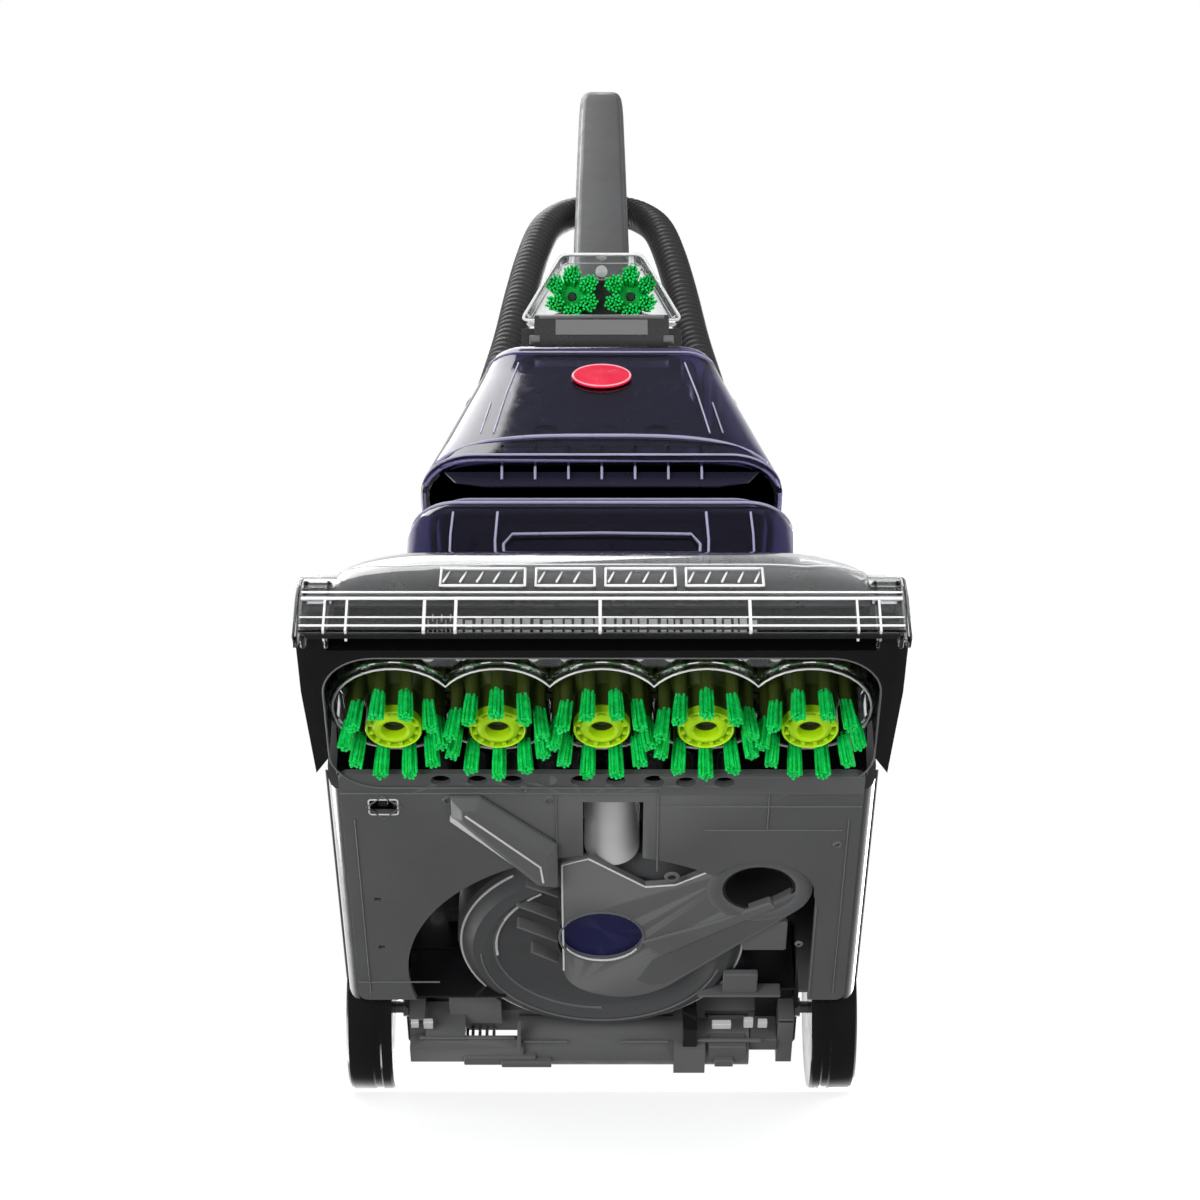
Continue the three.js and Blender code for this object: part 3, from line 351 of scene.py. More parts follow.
def restyled(node, bevel=0.8, name=None, **look):
    """A copy of a CAD node with its flat facets dissolved, its edges rounded and its finish applied."""
    source = frame["nodes"][node]
    mesh = source.data.copy()
    bm = bmesh.new()
    bm.from_mesh(mesh)
    bmesh.ops.remove_doubles(bm, verts=bm.verts, dist=1e-6)
    bmesh.ops.dissolve_limit(bm, angle_limit=math.radians(1.0), verts=bm.verts, edges=bm.edges)
    bm.to_mesh(mesh)
    bm.free()
    obj = bpy.data.objects.new(name or f"{node}_body", mesh)
    scene.collection.objects.link(obj)
    return finish(obj, BODY_OF[node], SLOT_OF[node], (node,), bevel=bevel, **look)


# Milky near-white finish for the beads, ribs, dashes, bars and rims on the clear mouldings. The shapes are moulded
# features; their whiteness is a painted highlight.
CLEAR_RIDGE_HIGHLIGHT = transparent("clear_edge", (0.99, 0.99, 1.0), rough=0.12)
CLEAR_RIDGE_HIGHLIGHT.node_tree.nodes["Principled BSDF"].inputs["Transmission Weight"].default_value = 0.3
# Paler opaque violet for the beads, ribs and level marks on the tinted mouldings. The beads and ribs are moulded; their
# paler colour is a painted highlight.
VIOLET_LINE_HIGHLIGHT = moulded("violet_edge", (0.25, 0.245, 0.36), 0.3, grain=0.1)
SMOKE = moulded("smoked_duct", (0.012, 0.012, 0.018), 0.3, grain=0.1)
NAVY = moulded("navy_screen", (0.008, 0.008, 0.05), 0.3, grain=0.1, wear=0.1)
OLIVE = moulded("olive_gear", (0.03, 0.045, 0.004), 0.35, grain=0.1, wear=0.1)
SIDE = moulded("side_panel", (0.055, 0.056, 0.058), 0.18, grain=0.02, wear=0.1, coat=1.0)
HANDLE = moulded("handle_grey", (0.03, 0.03, 0.031), 0.24, grain=0.05, wear=0.1, coat=0.2)
DUSK = moulded("dark_violet", (0.014, 0.0135, 0.028), 0.3, grain=0.05, wear=0.1)
DUSK_BACK = moulded("duct_back", (0.022, 0.022, 0.023), 0.3, grain=0.05)
PALE_RED = moulded("badge_rim", (0.8, 0.35, 0.4), 0.3, grain=0.05, wear=0.1)


# ------------------------------------------------------------------ shared outlines
def mirror_x(points):
    return [*points, *[(-x, y) for x, y in reversed(points)]]


def lerp(a, b, t):
    return a + (b - a) * t


def ring_rect(x0, x1, y0, y1, r, z, n=6):
    return [(x, y, z) for x, y in rect(x0, x1, y0, y1, r, n)]


def bead(points, r, n=8, loop=False):
    return sweep(points, r, n, loop)


def dots(spots, r, z0, z1, n=20):
    return merge(*[prism(arc(x, y, r, n=n), z0, z1) for x, y in spots])


def cutter(shape, matrix=BASE):
    return raw("cutter", shape, matrix)


# ------------------------------------------------------------------ floor nozzle
def rear_edge(x):
    s = min(1.0, max(0.0, (abs(x) - 88) / 58))
    drop = 1 - math.sqrt(1 - s * s)
    return lerp(60, 16, drop), lerp(112, 58, drop)


def nozzle_curve(x, inset=0.0, rows=12):
    ry, rz = rear_edge(x)
    bulge = (4, lerp(28, rz, 0.62))
    line = [(0, 5.5), (0, 12), (0, 20), (0, 28)]
    for k in range(1, rows + 1):
        t = k / rows
        mix = [(1 - t) ** 2 * a + 2 * t * (1 - t) * b + t * t * c for a, b, c in ((0, bulge[0], ry), (28, bulge[1], rz))]
        line.append(tuple(mix))
    if not inset:
        return [(x, y, z) for y, z in line]
    out = []
    for i, (y, z) in enumerate(line):
        a, b = line[max(0, i - 1)], line[min(len(line) - 1, i + 1)]
        dy, dz = b[0] - a[0], b[1] - a[1]
        size = math.hypot(dy, dz)
        out.append((x, y + inset * dz / size, z - inset * dy / size))
    return out


half_xs = [0, 20, 40, 60, 76, 88, 96, 104, 112, 120, 127, 133, 138, 142, 144.6, 146, 150, 156, 163.5]
xs = [-x for x in reversed(half_xs[1:])] + half_xs
skin = loft([nozzle_curve(x) + nozzle_curve(x, 2.2)[::-1] for x in xs])
ends = []
for side in (-1, 1):
    outline = [(0, 0), (9, 0), (14.5, 30), (18.5, 56), (16, 58), (6, 47), (0, 28)]
    ends.append(prism(outline, *sorted((side * 163.5, side * 166.5)), "x"))
cover = piece("nozzle_cover_shell", skin, "nozzle_cover", "clear_plastic", ["nozzle_cover"], angle=30)
for side, shape in zip(("left", "right"), ends):
    piece(f"nozzle_end_plate_{side}", shape, "nozzle_cover", "clear_plastic", bevel=0.9, segments=3)

ribs = []
for z, r in ((8.5, 0.7), (14.5, 0.5), (28.0, 1.0), (32.5, 0.6)):
    ribs.append(bead([(-163, -0.05, z), (0, -0.05, z), (163, -0.05, z)], r))
for z in (60, 100):
    line = []
    for x in xs:
        col = nozzle_curve(x, rows=24)
        line.append(min(col, key=lambda p: abs(p[2] - min(z, col[-1][2] - 1.5))))
    ribs.append(bead(line, 0.45))
top_line = [nozzle_curve(x)[-1] for x in xs if abs(x) <= 163]
ribs.append(bead(top_line, 1.25, 10))
inner_line = [nozzle_curve(x, 2.2)[-1] for x in xs if abs(x) <= 146]
ribs.append(bead([(x, y + 1.2, z - 2.4) for x, y, z in inner_line], 0.6))
piece("nozzle_edge_beads", merge(*ribs), "nozzle_cover", None, mat=CLEAR_RIDGE_HIGHLIGHT, angle=60)

uprights = []
for x in (-96, -79, -1, 80):
    uprights.append(block(x - 0.9, x + 0.9, -0.35, 6, 5, 27))
for k in range(7):
    uprights.append(block(-94 + k * 2.4, -93.2 + k * 2.4, 0, 3.2, 9 + (k % 2) * 4, 13 + (k % 2) * 4))
for x in (-150, -138, 138, 150):
    uprights.append(block(x - 0.7, x + 0.7, -0.2, 9, 5, 27))
piece("nozzle_ribs", merge(*uprights), "nozzle_cover", None, mat=CLEAR_RIDGE_HIGHLIGHT, bevel=0.3)
dashes = []
spot = random.Random(3)
x = -78.0
while x < 82:
    w = spot.uniform(2.2, 5.0)
    dashes.append(block(x, x + w, 0.2, 2.4, spot.uniform(8.4, 9.4), spot.uniform(12.6, 14.4)))
    x += w + spot.uniform(0.9, 1.8)
piece("nozzle_vents", merge(*dashes), "nozzle_cover", None, mat=CLEAR_RIDGE_HIGHLIGHT, bevel=0.2)

# Raised grip bars moulded on the clear arch.
bars = []
for x0, x1 in ((-88, -42), (-36, -4), (2, 40), (46, 88)):
    n = max(6, int((x1 - x0) / 3))
    low, high = [], []
    for k in range(n + 1):
        x = lerp(x0, x1, k / n)
        col = nozzle_curve(x, rows=40)
        low.append(min(col, key=lambda p: abs(p[2] - 38)))
        high.append(min(col, key=lambda p: abs(p[2] - 55)))
    ring = [(a[0], a[1] - 0.4, a[2]) for a in low] + [(a[0], a[1] - 0.4, a[2]) for a in reversed(high)]
    bars.append(bead(ring, 0.8, 8, loop=True))
    for k in range(1, n, 3):
        bars.append(bead([(low[k][0] - 1.5, low[k][1] - 0.3, low[k][2] + 3), (high[k][0] + 1.5, high[k][1] - 0.3, high[k][2] - 3)], 0.7))
piece("nozzle_grip_bars", merge(*bars), "nozzle_cover", None, mat=CLEAR_RIDGE_HIGHLIGHT, angle=60)
corner = []
for side in (-1, 1):
    for x0, x1, y1, z0, z1 in ((147, 162.8, 9, 31, 36), (147, 162.8, 12, 40, 43), (148, 150, 14, 4, 44), (160, 162.8, 14, 4, 44)):
        lo, hi = sorted((side * x0, side * x1))
        corner.append(block(lo, hi, 3.2, y1, z0, z1))
piece("nozzle_end_webs", merge(*corner), "nozzle_cover", "clear_plastic", bevel=0.6)

piece("nozzle_lip_strip", block(-160, 160, 2.6, 5.2, 3.6, 7.6), "base", "black_plastic", bevel=0.3)
restyled("nozzle_back", 0.8, mat=DUSK_BACK)
restyled("brush_hood", 0.7)
piece("hood_rim_line", bead(ring_rect(-154.2, 154.2, 31.3, 145.7, 30, 12.2, 10), 0.6, 8, loop=True), "base", "mid_grey_plastic", angle=60)
fins = [block(x - 0.8, x + 0.8, 24.5, 27, 66, 84) for x in range(-96, 97, 12)]
dark_wall = [[(x, y + 4.5, z) for x, y, z in (nozzle_curve(x, 2.2)[3:])] for x in xs if abs(x) <= 147]
dark_rows = [row + [(x, y + 1.6, z) for x, y, z in reversed(row)] for row in dark_wall]
piece("nozzle_duct_wall", loft(dark_rows), "base", None, mat=DUSK_BACK, angle=30)
piece("nozzle_back_ribs", merge(*fins), "base", None, mat=DUSK_BACK, bevel=0.3)

# ------------------------------------------------------------------ brushes
def gear_outline(teeth, phase):
    pitch = 58.5 / 16 * teeth / 2
    step = 2 * math.pi / teeth
    out = []
    for i in range(teeth):
        for r, share in ((pitch - 3, -0.36), (pitch + 1.9, -0.17), (pitch + 1.9, 0.17), (pitch - 3, 0.36)):
            a = phase + i * step + share * step * 0.77
            out.append((r * math.cos(a), r * math.sin(a)))
    return out


HUB_RINGS = merge(
    lathe([(14.7, 15.8), (15.3, 15.2), (16, 16.0), (16, 21), (14.7, 21)], 72),
    lathe([(6.7, 17.7), (7.3, 15.8), (9.0, 14.9), (10.6, 15.4), (12.2, 17.0), (12.4, 18.2), (12.4, 21), (6.7, 21)], 72),
    *[moved(block(12.0, 15.1, -1.1, 1.1, 16.1, 20), Matrix.Rotation(math.radians(30 * k + 15), 4, "Z")) for k in range(12)],
)
HUB_WALLS = merge(
    lathe([(14.9, 21.2), (16, 21.2), (16, 45), (14.9, 45)], 72),
    lathe([(6.7, 21.2), (12.2, 21.2), (12.2, 45), (6.7, 45)], 72),
)
for i in range(5):
    name = f"brush_{i + 1}"
    place = BASE @ at((i - 2) * 58.5, 97.7, 0)
    phase = 0 if i % 2 == 0 else math.pi / 16
    gear = prism(gear_outline(16, phase), 45.4, 52)
    web = lathe([(15.8, 36), (17, 36), (22.5, 43.5), (22.5, 46), (15.8, 46)], 60)
    piece(f"{name}_hub", HUB_RINGS, name, "lime_plastic", [name], place, angle=35)
    raw_gear = merge(gear, web)
    piece(f"{name}_gear", merge(raw_gear, HUB_WALLS), name, None, matrix=place, mat=OLIVE, angle=30)
    turn = math.pi / 10 if i % 2 == 0 else 0
    strands, collars = [], []
    rnd = random.Random(20 + i)
    for k in range(10):
        a = math.pi / 2 + turn + k * math.pi / 5
        out, across = Vector((math.cos(a), math.sin(a), 0)), Vector((-math.sin(a), math.cos(a), 0))
        collars.append(rod(3.3, out * 24.6 + Vector((0, 0, 22)), out * 24.2 + Vector((0, 0, 44.8)), 16, 3.8))
        for j in range(16):
            b = j * 2.39996
            spread = 0.8 * math.sqrt(j + 0.5)
            off = out * (spread * math.cos(b)) + across * (spread * math.sin(b))
            foot = out * 24.6 + off + Vector((0, 0, 24 - 0.3 * (j % 3)))
            lean = 1.22 + rnd.uniform(-0.1, 0.1)
            tip = out * 27.0 + off * lean + Vector((0, 0, 3.0 + rnd.uniform(0, 1.6)))
            middle = foot.lerp(tip, 0.55) + off * 0.06
            strands.append(sweep([foot, middle, tip], lambda t: 1.05 - 0.15 * t, 6))
    piece(f"{name}_bristles", merge(*strands), name, "green_bristle", matrix=place, angle=80)
    piece(f"{name}_tuft_bosses", merge(*collars), name, None, matrix=place, mat=OLIVE, angle=40)

restyled("brush_block", 0.6)
piece(
    "spindle_ends",
    merge(*[lathe([(0.01, 23), (3.2, 23), (4.4, 24.2), (6.1, 24.6), (6.1, 40), (0.01, 40)], 32, ((i - 2) * 58.5, 97.7), loop=False) for i in range(5)]),
    "base",
    "black_plastic",
)


def union_outline(r, n=14):
    cut = math.degrees(math.acos(29.25 / r))
    points = []
    for i in range(5):
        cx = (i - 2) * 58.5
        points += arc(cx, 97.7, r, 180 + (0 if i == 0 else cut), 360 - (0 if i == 4 else cut), n)[: None if i == 4 else -1]
    upper = []
    for i in range(4, -1, -1):
        cx = (i - 2) * 58.5
        upper += arc(cx, 97.7, r, 0 if i == 4 else cut, 180 if i == 0 else 180 - cut, n)[: -1]
    return points[:-1] + upper


outer, inner = union_outline(36.4), union_outline(34.2)
wall = loft([[(x, y, z) for x, y in ring] for ring, z in ((outer, 31), (outer, 54), (inner, 54), (inner, 31))], loop=True)
shroud = carve(raw("brush_shroud_wall", wall), cutter(rod(18.5, (0, 141.6, 42), (0, 141.6, 60), 48)))
finish(shroud, "base", "clear_plastic", ["brush_shroud"], angle=30)
piece("shroud_rim", bead([(x, y, 31) for x, y in union_outline(35.3)], 0.7, 8, loop=True), "base", None, mat=CLEAR_RIDGE_HIGHLIGHT, angle=60)
piece(
    "shroud_flange",
    loft([[(x, y, z) for x, y in ring] for ring, z in ((union_outline(36.6), 33), (union_outline(38.6), 33.4), (union_outline(38.6), 34.6), (union_outline(36.6), 35))], loop=True),
    "base",
    "clear_plastic",
    angle=30,
)
webs = [prism([(c - 15, 31.6), (c + 15, 31.6), (c + 6, 42), (c - 6, 42)], 14.5, 16) for c in (-87.75, -29.25, 29.25, 87.75)]
piece("shroud_webs", merge(*webs), "base", "clear_plastic", bevel=0.4)
posts = []
for i in range(5):
    for dx in (-20, 20):
        x = (i - 2) * 58.5 + dx
        posts.append(lathe([(1.6, 38), (3.4, 38), (3.4, 58), (1.6, 58)], 20, (x, 60.5)))
piece("hood_bosses", merge(*posts), "base", None, mat=CLEAR_RIDGE_HIGHLIGHT)

# ------------------------------------------------------------------ underside plate
plate = raw("underside_plate", prism(rect(-150.5, 150.5, 134, 360, 6, 8), 13, 16.5))
holes = [
    prism(arc(0, 330, 119, n=128), 0, 30),
    prism(rect(58, 128, 250, 420, 6, 8), 0, 40),
    prism(arc(94, 250, 33, n=72), 0, 40),
    block(-11, 24, 160, 260, 0, 40),
    prism(rect(-134, -118, 158, 171, 1.5, 4), 0, 40),
    block(-136, -132, 253, 257, 0, 40),
    block(-136, -132, 302, 306, 0, 40),
]
for x in (-92, -71, -51, -31, -12, 8, 30, 48, 70):
    holes.append(prism([(x + 5.8 * math.cos(a), 140 + 4.6 * math.sin(a)) for a in [k * math.pi / 16 for k in range(32)]], 0, 40))
carve(plate, *[cutter(h) for h in holes])
finish(plate, "base", "grey_plastic", ["bottom_plate"], bevel=0.7, segments=2, angle=30)

detail = []
for x, y, r in ((-88, 158, 3.6), (-30, 158, 3.4), (-45, 147.5, 2.6), (105, 150, 3.4), (41.6, 231.8, 4.2), (120, 300, 2.2), (138, 200, 2.6)):
    detail.append(lathe([(r * 0.62, 12.0), (r, 12.2), (r + 0.5, 13.3), (r * 0.62, 13.3)], 36, (x, y)))
detail.append(lathe([(9.8, 12.2), (10.8, 12.2), (10.8, 13.2), (9.8, 13.2)], 4, (-126, 164.5)))
for x0, x1, y0, y1 in (
    (-150, 150, 151.2, 152.0), (32, 150, 163.5, 164.3), (32.2, 33.0, 152, 226), (-150, -100, 340, 340.7),
    (-26.6, -25.9, 152, 200), (128.4, 129.2, 262, 356), (-143.6, -142.9, 176, 352), (143, 143.7, 176, 352),
    (60, 140, 186, 186.7), (96, 96.7, 152, 186),
):
    detail.append(block(x0, x1, y0, y1, 12.3, 13.3))
piece("plate_ridges", merge(*detail), "base", "mid_grey_plastic", bevel=0.2)
steps = merge(block(-150.2, -27, 135, 151, 11.6, 13.2), block(33, 150.2, 135, 151, 11.6, 13.2), block(-27, 33, 135, 150, 12.2, 13.2))
step = raw("plate_front_step", steps)
carve(step, *[cutter(prism([(x + 5.8 * math.cos(a), 140 + 4.6 * math.sin(a)) for a in [k * math.pi / 16 for k in range(32)]], 0, 40)) for x in (-92, -71, -51, -31, -12, 8, 30, 48, 70)])
finish(step, "base", "grey_plastic", bevel=0.5)
wells = merge(*[lathe([(5.4, 16.6), (6.3, 16.6), (6.3, 30), (0.01, 30), (0.01, 29), (5.4, 29)], 28, (x, 140)) for x in (-92, -71, -51, -31, -12, 8, 30, 48, 70)])
piece("plate_wells", wells, "base", "black_plastic")
square = merge(block(-137, -115, 155, 174, 24, 25.5), block(-129.5, -124, 160, 169, 16.8, 24.5), block(-121, -119, 158, 171, 16.8, 24))
piece("plate_latch", square, "base", "black_plastic", bevel=0.3)
rim = [(x, y, 12.9) for x, y in rect(-134.4, -117.6, 157.6, 171.4, 1.8, 4)]
piece("plate_latch_rim", bead(rim, 0.5, 6, loop=True), "base", "light_grey_plastic")

restyled("base_housing", 1.0, segments=3, angle=30)
panel = [(150.8, 15.2), (153.2, 15.8), (155.6, 18.4), (157.4, 23), (158.4, 32), (158.8, 50), (158.6, 98), (157.4, 98), (152, 40), (150.8, 20)]
for side, sign in (("left", -1), ("right", 1)):
    shape = prism([(sign * x, z) for x, z in panel], 150.5, 362, "y")
    piece(f"base_side_{side}", shape, "base", None, mat=SIDE, angle=40)

# ------------------------------------------------------------------ air path
FAN_PROFILE = [
    (27, 30.5), (63, 30.5), (65.5, 29.6), (70.5, 25.2), (72, 24.5), (74, 24.9), (79.5, 25.8), (84, 29.2), (89, 36),
    (89, 60), (86, 60), (86, 39), (82, 33.8), (27, 33.5),
]
fan = carve(raw("fan_volute", lathe(FAN_PROFILE, 128, (0, 325))), cutter(block(60, 120, 220, 262, 20, 70)))
finish(fan, "base", "housing_plastic", ["fan_housing"], angle=26)


def ring_bead(r, z, size, a0, a1, centre=(0, 325), n=60):
    return bead([(x, y, z) for x, y in arc(*centre, r, a0, a1, n)], size, 8)


# Pale beads on part of the volute's outer rim, inner step and inner lip: painted highlights on the lit side of the
# bowl.
volute_rim_highlight = ring_bead(86.8, 32.2, 0.8, -28, 232, n=110)
piece("volute_outer_rim", volute_rim_highlight, "base", "light_grey_plastic")
piece("volute_inner_rim", merge(ring_bead(66.5, 28.9, 0.9, 90, 205, n=50), ring_bead(74.5, 24.7, 0.7, 15, 178, n=70)), "base", "mid_grey_plastic")
piece("volute_lip", ring_bead(65.4, 29.4, 1.15, 172, 236, n=30), "base", "light_grey_plastic")
vanes = []
for y, x0, x1, drop in ((262, -46, -26, 3), (284, -52, -27, 5), (306, -52, -27, 5), (330, -44, -27, 3)):
    vanes.append(prism([(x0, y - drop - 4), (x0 + 1.5, y - drop - 5), (x1, y + drop), (x1, y + drop + 1.6)], 22.5, 31))
piece("volute_vanes", merge(*vanes), "base", "mid_grey_plastic", bevel=0.3)
piece(
    "inlet_screen",
    lathe([(0.01, 22.6), (14, 22.4), (25.4, 21.6), (25.6, 21.4), (25.6, 23.6), (14, 24.4), (0.01, 24.6)], 64, (0, 299), loop=False),
    "base",
    None,
    mat=NAVY,
    angle=40,
)


def quad(p0, p1, p2, n=10):
    return [tuple((1 - t) ** 2 * a + 2 * t * (1 - t) * b + t * t * c for a, b, c in zip(p0, p1, p2)) for t in [k / n for k in range(1, n + 1)]]


DUCT = [(-24, 224), (-8, 219), (26, 247), (44, 245), (74, 225)]
DUCT += arc(94, 250, 32, math.degrees(-2.25), math.degrees(0.75), 40)
DUCT += [(42, 350)] + quad((42, 350), (24, 366), (4, 362)) + quad((4, 362), (-22, 356), (-24, 332))
duct = raw("duct_plate", prism(DUCT, 17.2, 21.2))
carve(duct, cutter(prism(arc(0, 299, 25, n=96), 0, 40)), cutter(prism(arc(94, 250, 22, n=72), 0, 40)))
finish(duct, "base", "mid_grey_plastic", ["air_duct_cover"], bevel=1.1, segments=3, angle=30)
arm = raw("duct_arm", prism([(30, 322), (78, 278), (104, 264), (120, 250), (125.4, 258), (122, 268), (41, 349), (30, 352), (20, 345)], 17, 24.2))
finish(arm, "base", "grey_plastic", bevel=2.0, segments=4, angle=30)
spine = prism([(24, 303), (66, 283), (101, 262), (105, 268), (76, 288), (36, 318)], 15.6, 22)
piece("duct_spine", spine, "base", "mid_grey_plastic", bevel=1.6, segments=4)
# Light-grey bead along the duct plate's front edges: a painted highlight.
duct_highlight_line = [(-23.4, 334, 17.2), (-23.6, 280, 17.0), (-23.6, 226, 17.0), (-8, 219.6, 17.0), (26, 247.4, 17.0), (44, 245.4, 17.0), (73, 226, 17.0)]
piece("duct_edge", bead(duct_highlight_line, 0.6, 6), "base", "light_grey_plastic")
piece("duct_inlet_lip", ring_bead(25.6, 17.2, 0.9, 0, 359.9, (0, 299), 96), "base", "grey_plastic")
# Light-grey arc on one side of the inlet lip: a painted highlight.
piece("duct_inlet_lip_front", ring_bead(25.0, 17.6, 0.8, 30, 150, (0, 299), 48), "base", "light_grey_plastic")
collar = lathe([(22, 17.5), (24.5, 16), (27.5, 15.6), (31.6, 17.0), (31.6, 22), (22, 22)], 96, (94, 250))
piece("outlet_collar", collar, "base", "grey_plastic", angle=30)
tube = lathe([(20.4, 18), (22, 18), (22, 58), (20.4, 58)], 72, (94, 250))
piece("outlet_tube", tube, "base", "black_plastic", angle=30)
# Light-grey arc on one side of the black outlet tube's lip: a painted highlight.
piece("outlet_lip", ring_bead(21.6, 19.4, 0.9, 20, 165, (94, 250), 48), "base", "light_grey_plastic")
piece("outlet_screen", lathe([(0.01, 44), (20.5, 42), (20.5, 44), (0.01, 46)], 48, (94, 250), loop=False), "base", "black_plastic")

roof = [(-80, 158), (-72, 158), (-31, 201), (-31, 230), (-36, 229), (-80, 168)]
base_line = [(-87, 152), (-70, 152), (-26, 197), (-26, 238), (-38, 236), (-87, 170)]
channel = loft([[(x, y, z) for x, y in ring] for ring, z in ((roof, 4.5), (base_line, 9.5), (base_line, 12.5))])
piece("solution_channel_body", channel, "base", "mid_grey_plastic", ["solution_channel"], bevel=0.9, segments=3, angle=20)
# Light-grey bead and rail along the channel's edges: the rail is a moulded strip; its light grey, like the bead's, is a
# painted highlight rim line.
piece("channel_ridge", bead([(-78.5, 162, 4.4), (-56, 188, 4.4), (-36, 211, 4.4), (-34.5, 226, 4.6)], 0.7, 8), "base", "light_grey_plastic")
piece("channel_rail", prism([(-88, 172), (-84, 170), (-46, 213), (-50, 217)], 8, 12.8), "base", "light_grey_plastic", bevel=0.5)

pipe_rings = []
for y, r in ((164, 16.5), (166, 17.6), (169, 17.6), (171, 16.5), (205, 16.3), (232, 16.5)):
    pipe_rings.append([(6 + r * math.cos(a), y, 38.2 + r * math.sin(a)) for a in [k * math.pi / 36 for k in range(72)]])
for y, r in ((232, 14), (171, 14), (166, 15), (164, 15.6)):
    pipe_rings.append([(6 + r * math.cos(a), y, 38.2 + r * math.sin(a)) for a in [k * math.pi / 36 for k in range(72)]])
piece("suction_pipe", loft(pipe_rings, loop=True), "base", "light_grey_plastic", ["intake_pipe"], angle=35)
piece("suction_pipe_liner", loft([[(6 + r * math.cos(a), y, 38.2 + r * math.sin(a)) for a in [k * math.pi / 24 for k in range(48)]] for y, r in ((170, 13.6), (200, 13.6), (200, 0.5))], caps=True), "base", "black_plastic")

# ------------------------------------------------------------------ internals seen through gaps and clear parts
piece("brush_motor_can", merge(
    lathe([(3.2, 63), (17, 63), (19, 65), (19, 96), (17, 98), (3.2, 98)], 64, (0, 141.6)),
    block(-30, -18, 133.6, 149.6, 63, 66), block(18, 30, 133.6, 149.6, 63, 66),
    lathe([(19, 70), (19.6, 70.4), (19.6, 74), (19, 74.4)], 64, (0, 141.6)),
), "base", "motor_can", ["brush_motor"], angle=30)
piece("brush_pinion_gear", merge(prism([(x, y + 141.575) for x, y in gear_outline(8, -math.pi / 2 + math.pi / 8)], 45, 52), rod(2.5, (0, 141.575, 43), (0, 141.575, 64), 24)), "pinion", "light_grey_plastic", ["brush_pinion"], angle=30)
MOTOR = [(5, 66), (76, 66), (78, 67), (78, 68.5), (76, 69), (48, 71.4), (46, 74), (46, 120), (44, 123), (40, 127), (37, 128), (14, 128), (14, 134), (5, 134)]
piece("suction_motor_can", lathe(MOTOR, 96, (0, 325)), "base", "motor_can", ["suction_motor"], angle=26)
blades = [lathe([(4, 43), (64, 43), (66, 44), (66, 45.5), (4, 45.5)], 96, (0, 325)), lathe([(4, 42), (8, 42), (10, 45), (10, 60), (8, 62), (4, 62)], 48, (0, 325))]
for k in range(8):
    pts = [(9, -1), (34, 3.6), (62, 14), (61, 17), (33, 6.4), (9, 1.2)]
    blades.append(moved(prism(pts, 45, 56), at(0, 325, 0) @ Matrix.Rotation(math.radians(45 * k), 4, "Z")))
piece("fan_impeller_wheel", merge(*blades), "fan", "light_grey_plastic", ["fan_impeller"], angle=30)
piece("fan_shaft", lathe([(0.01, 41), (3, 41), (3.6, 41.6), (3.6, 132), (0.01, 132)], 32, (0, 325), loop=False), "fan", "steel", ["motor_shaft"])
restyled("solution_pump", 0.9, segments=3, angle=26)
restyled("spray_bar", 0.3, angle=35)

# ------------------------------------------------------------------ rear frame, axle and wheels
restyled("rear_frame", 0.7, segments=2, angle=28)
piece("axle_bar", merge(
    sweep([(-158, 425, 52), (-60, 425, 52), (60, 425, 52), (158, 425, 52)], 4.0, 40),
    *[lathe([(4.05, -2), (6.4, -2), (6.4, 2), (4.05, 2)], 32) and moved(lathe([(4.0, -1.6), (6.2, -1.6), (6.2, 1.6), (4.0, 1.6)], 32), at(x, 425, 52) @ Matrix.Rotation(math.pi / 2, 4, "Y")) for x in (-126.2, 126.2)],
), "base", "steel", ["rear_axle"], angle=30)
fittings = merge(
    block(-121, -116, 398, 404, 21.5, 24.5), block(-113, -107, 398, 405, 21.5, 25), block(70, 82, 398, 403, 20, 24), block(90, 96, 396, 404, 21.5, 25),
    block(99, 105, 398, 404, 21.5, 25),
)
piece("rear_clips", fittings, "base", "light_grey_plastic", bevel=0.5)
lines = merge(
    block(-116, -55, 412.6, 414.4, 19.5, 22), block(-50, -22, 413.6, 415.0, 17.5, 19), block(60.5, 101, 412.6, 414.4, 17.5, 20),
    block(12, 42, 413.6, 415, 17.5, 19), block(-53.5, -51.2, 402, 431, 13.8, 26),
)
piece("rear_rails", lines, "base", "mid_grey_plastic", bevel=0.5)
brackets = merge(
    block(68, 92, 416, 431, 15, 40), block(-88, -42, 424, 433, 12.5, 18), block(-64, -32, 427.5, 433.5, 11, 16), block(72, 84, 427, 433.5, 11.5, 16),
    block(94, 112, 418, 430, 22, 44),
    block(75.5, 97, 346, 366, 22, 26.5), block(60, 112, 366.2, 368, 20, 30),
)
piece("rear_brackets", brackets, "base", "grey_plastic", bevel=0.8)
piece("duct_pad", prism(rect(86, 113, 287, 316, 2, 4), 19.4, 24), "base", "mid_grey_plastic", bevel=0.6)
post_slot = block(51.5, 60.5, 398, 417.4, 16, 40)
piece("post_recess", post_slot, "base", "black_plastic", bevel=0.4)
piece("rear_fender", merge(block(-122.4, -112, 398, 402, 24, 62), block(112, 122.4, 398, 402, 24, 62)), "base", "grey_plastic", bevel=0.6)
inner_shade = merge(block(-121, -92, 371, 373.4, 60, 104), block(108, 121, 371, 373.4, 60, 98), block(-121, -60, 372, 374, 24, 66), block(60, 121, 372, 374, 30, 66), block(98, 121, 374, 420, 40, 60), block(-121, -112, 374, 420, 40, 60))
piece("rear_shade", inner_shade, "base", "black_plastic", bevel=0.4)

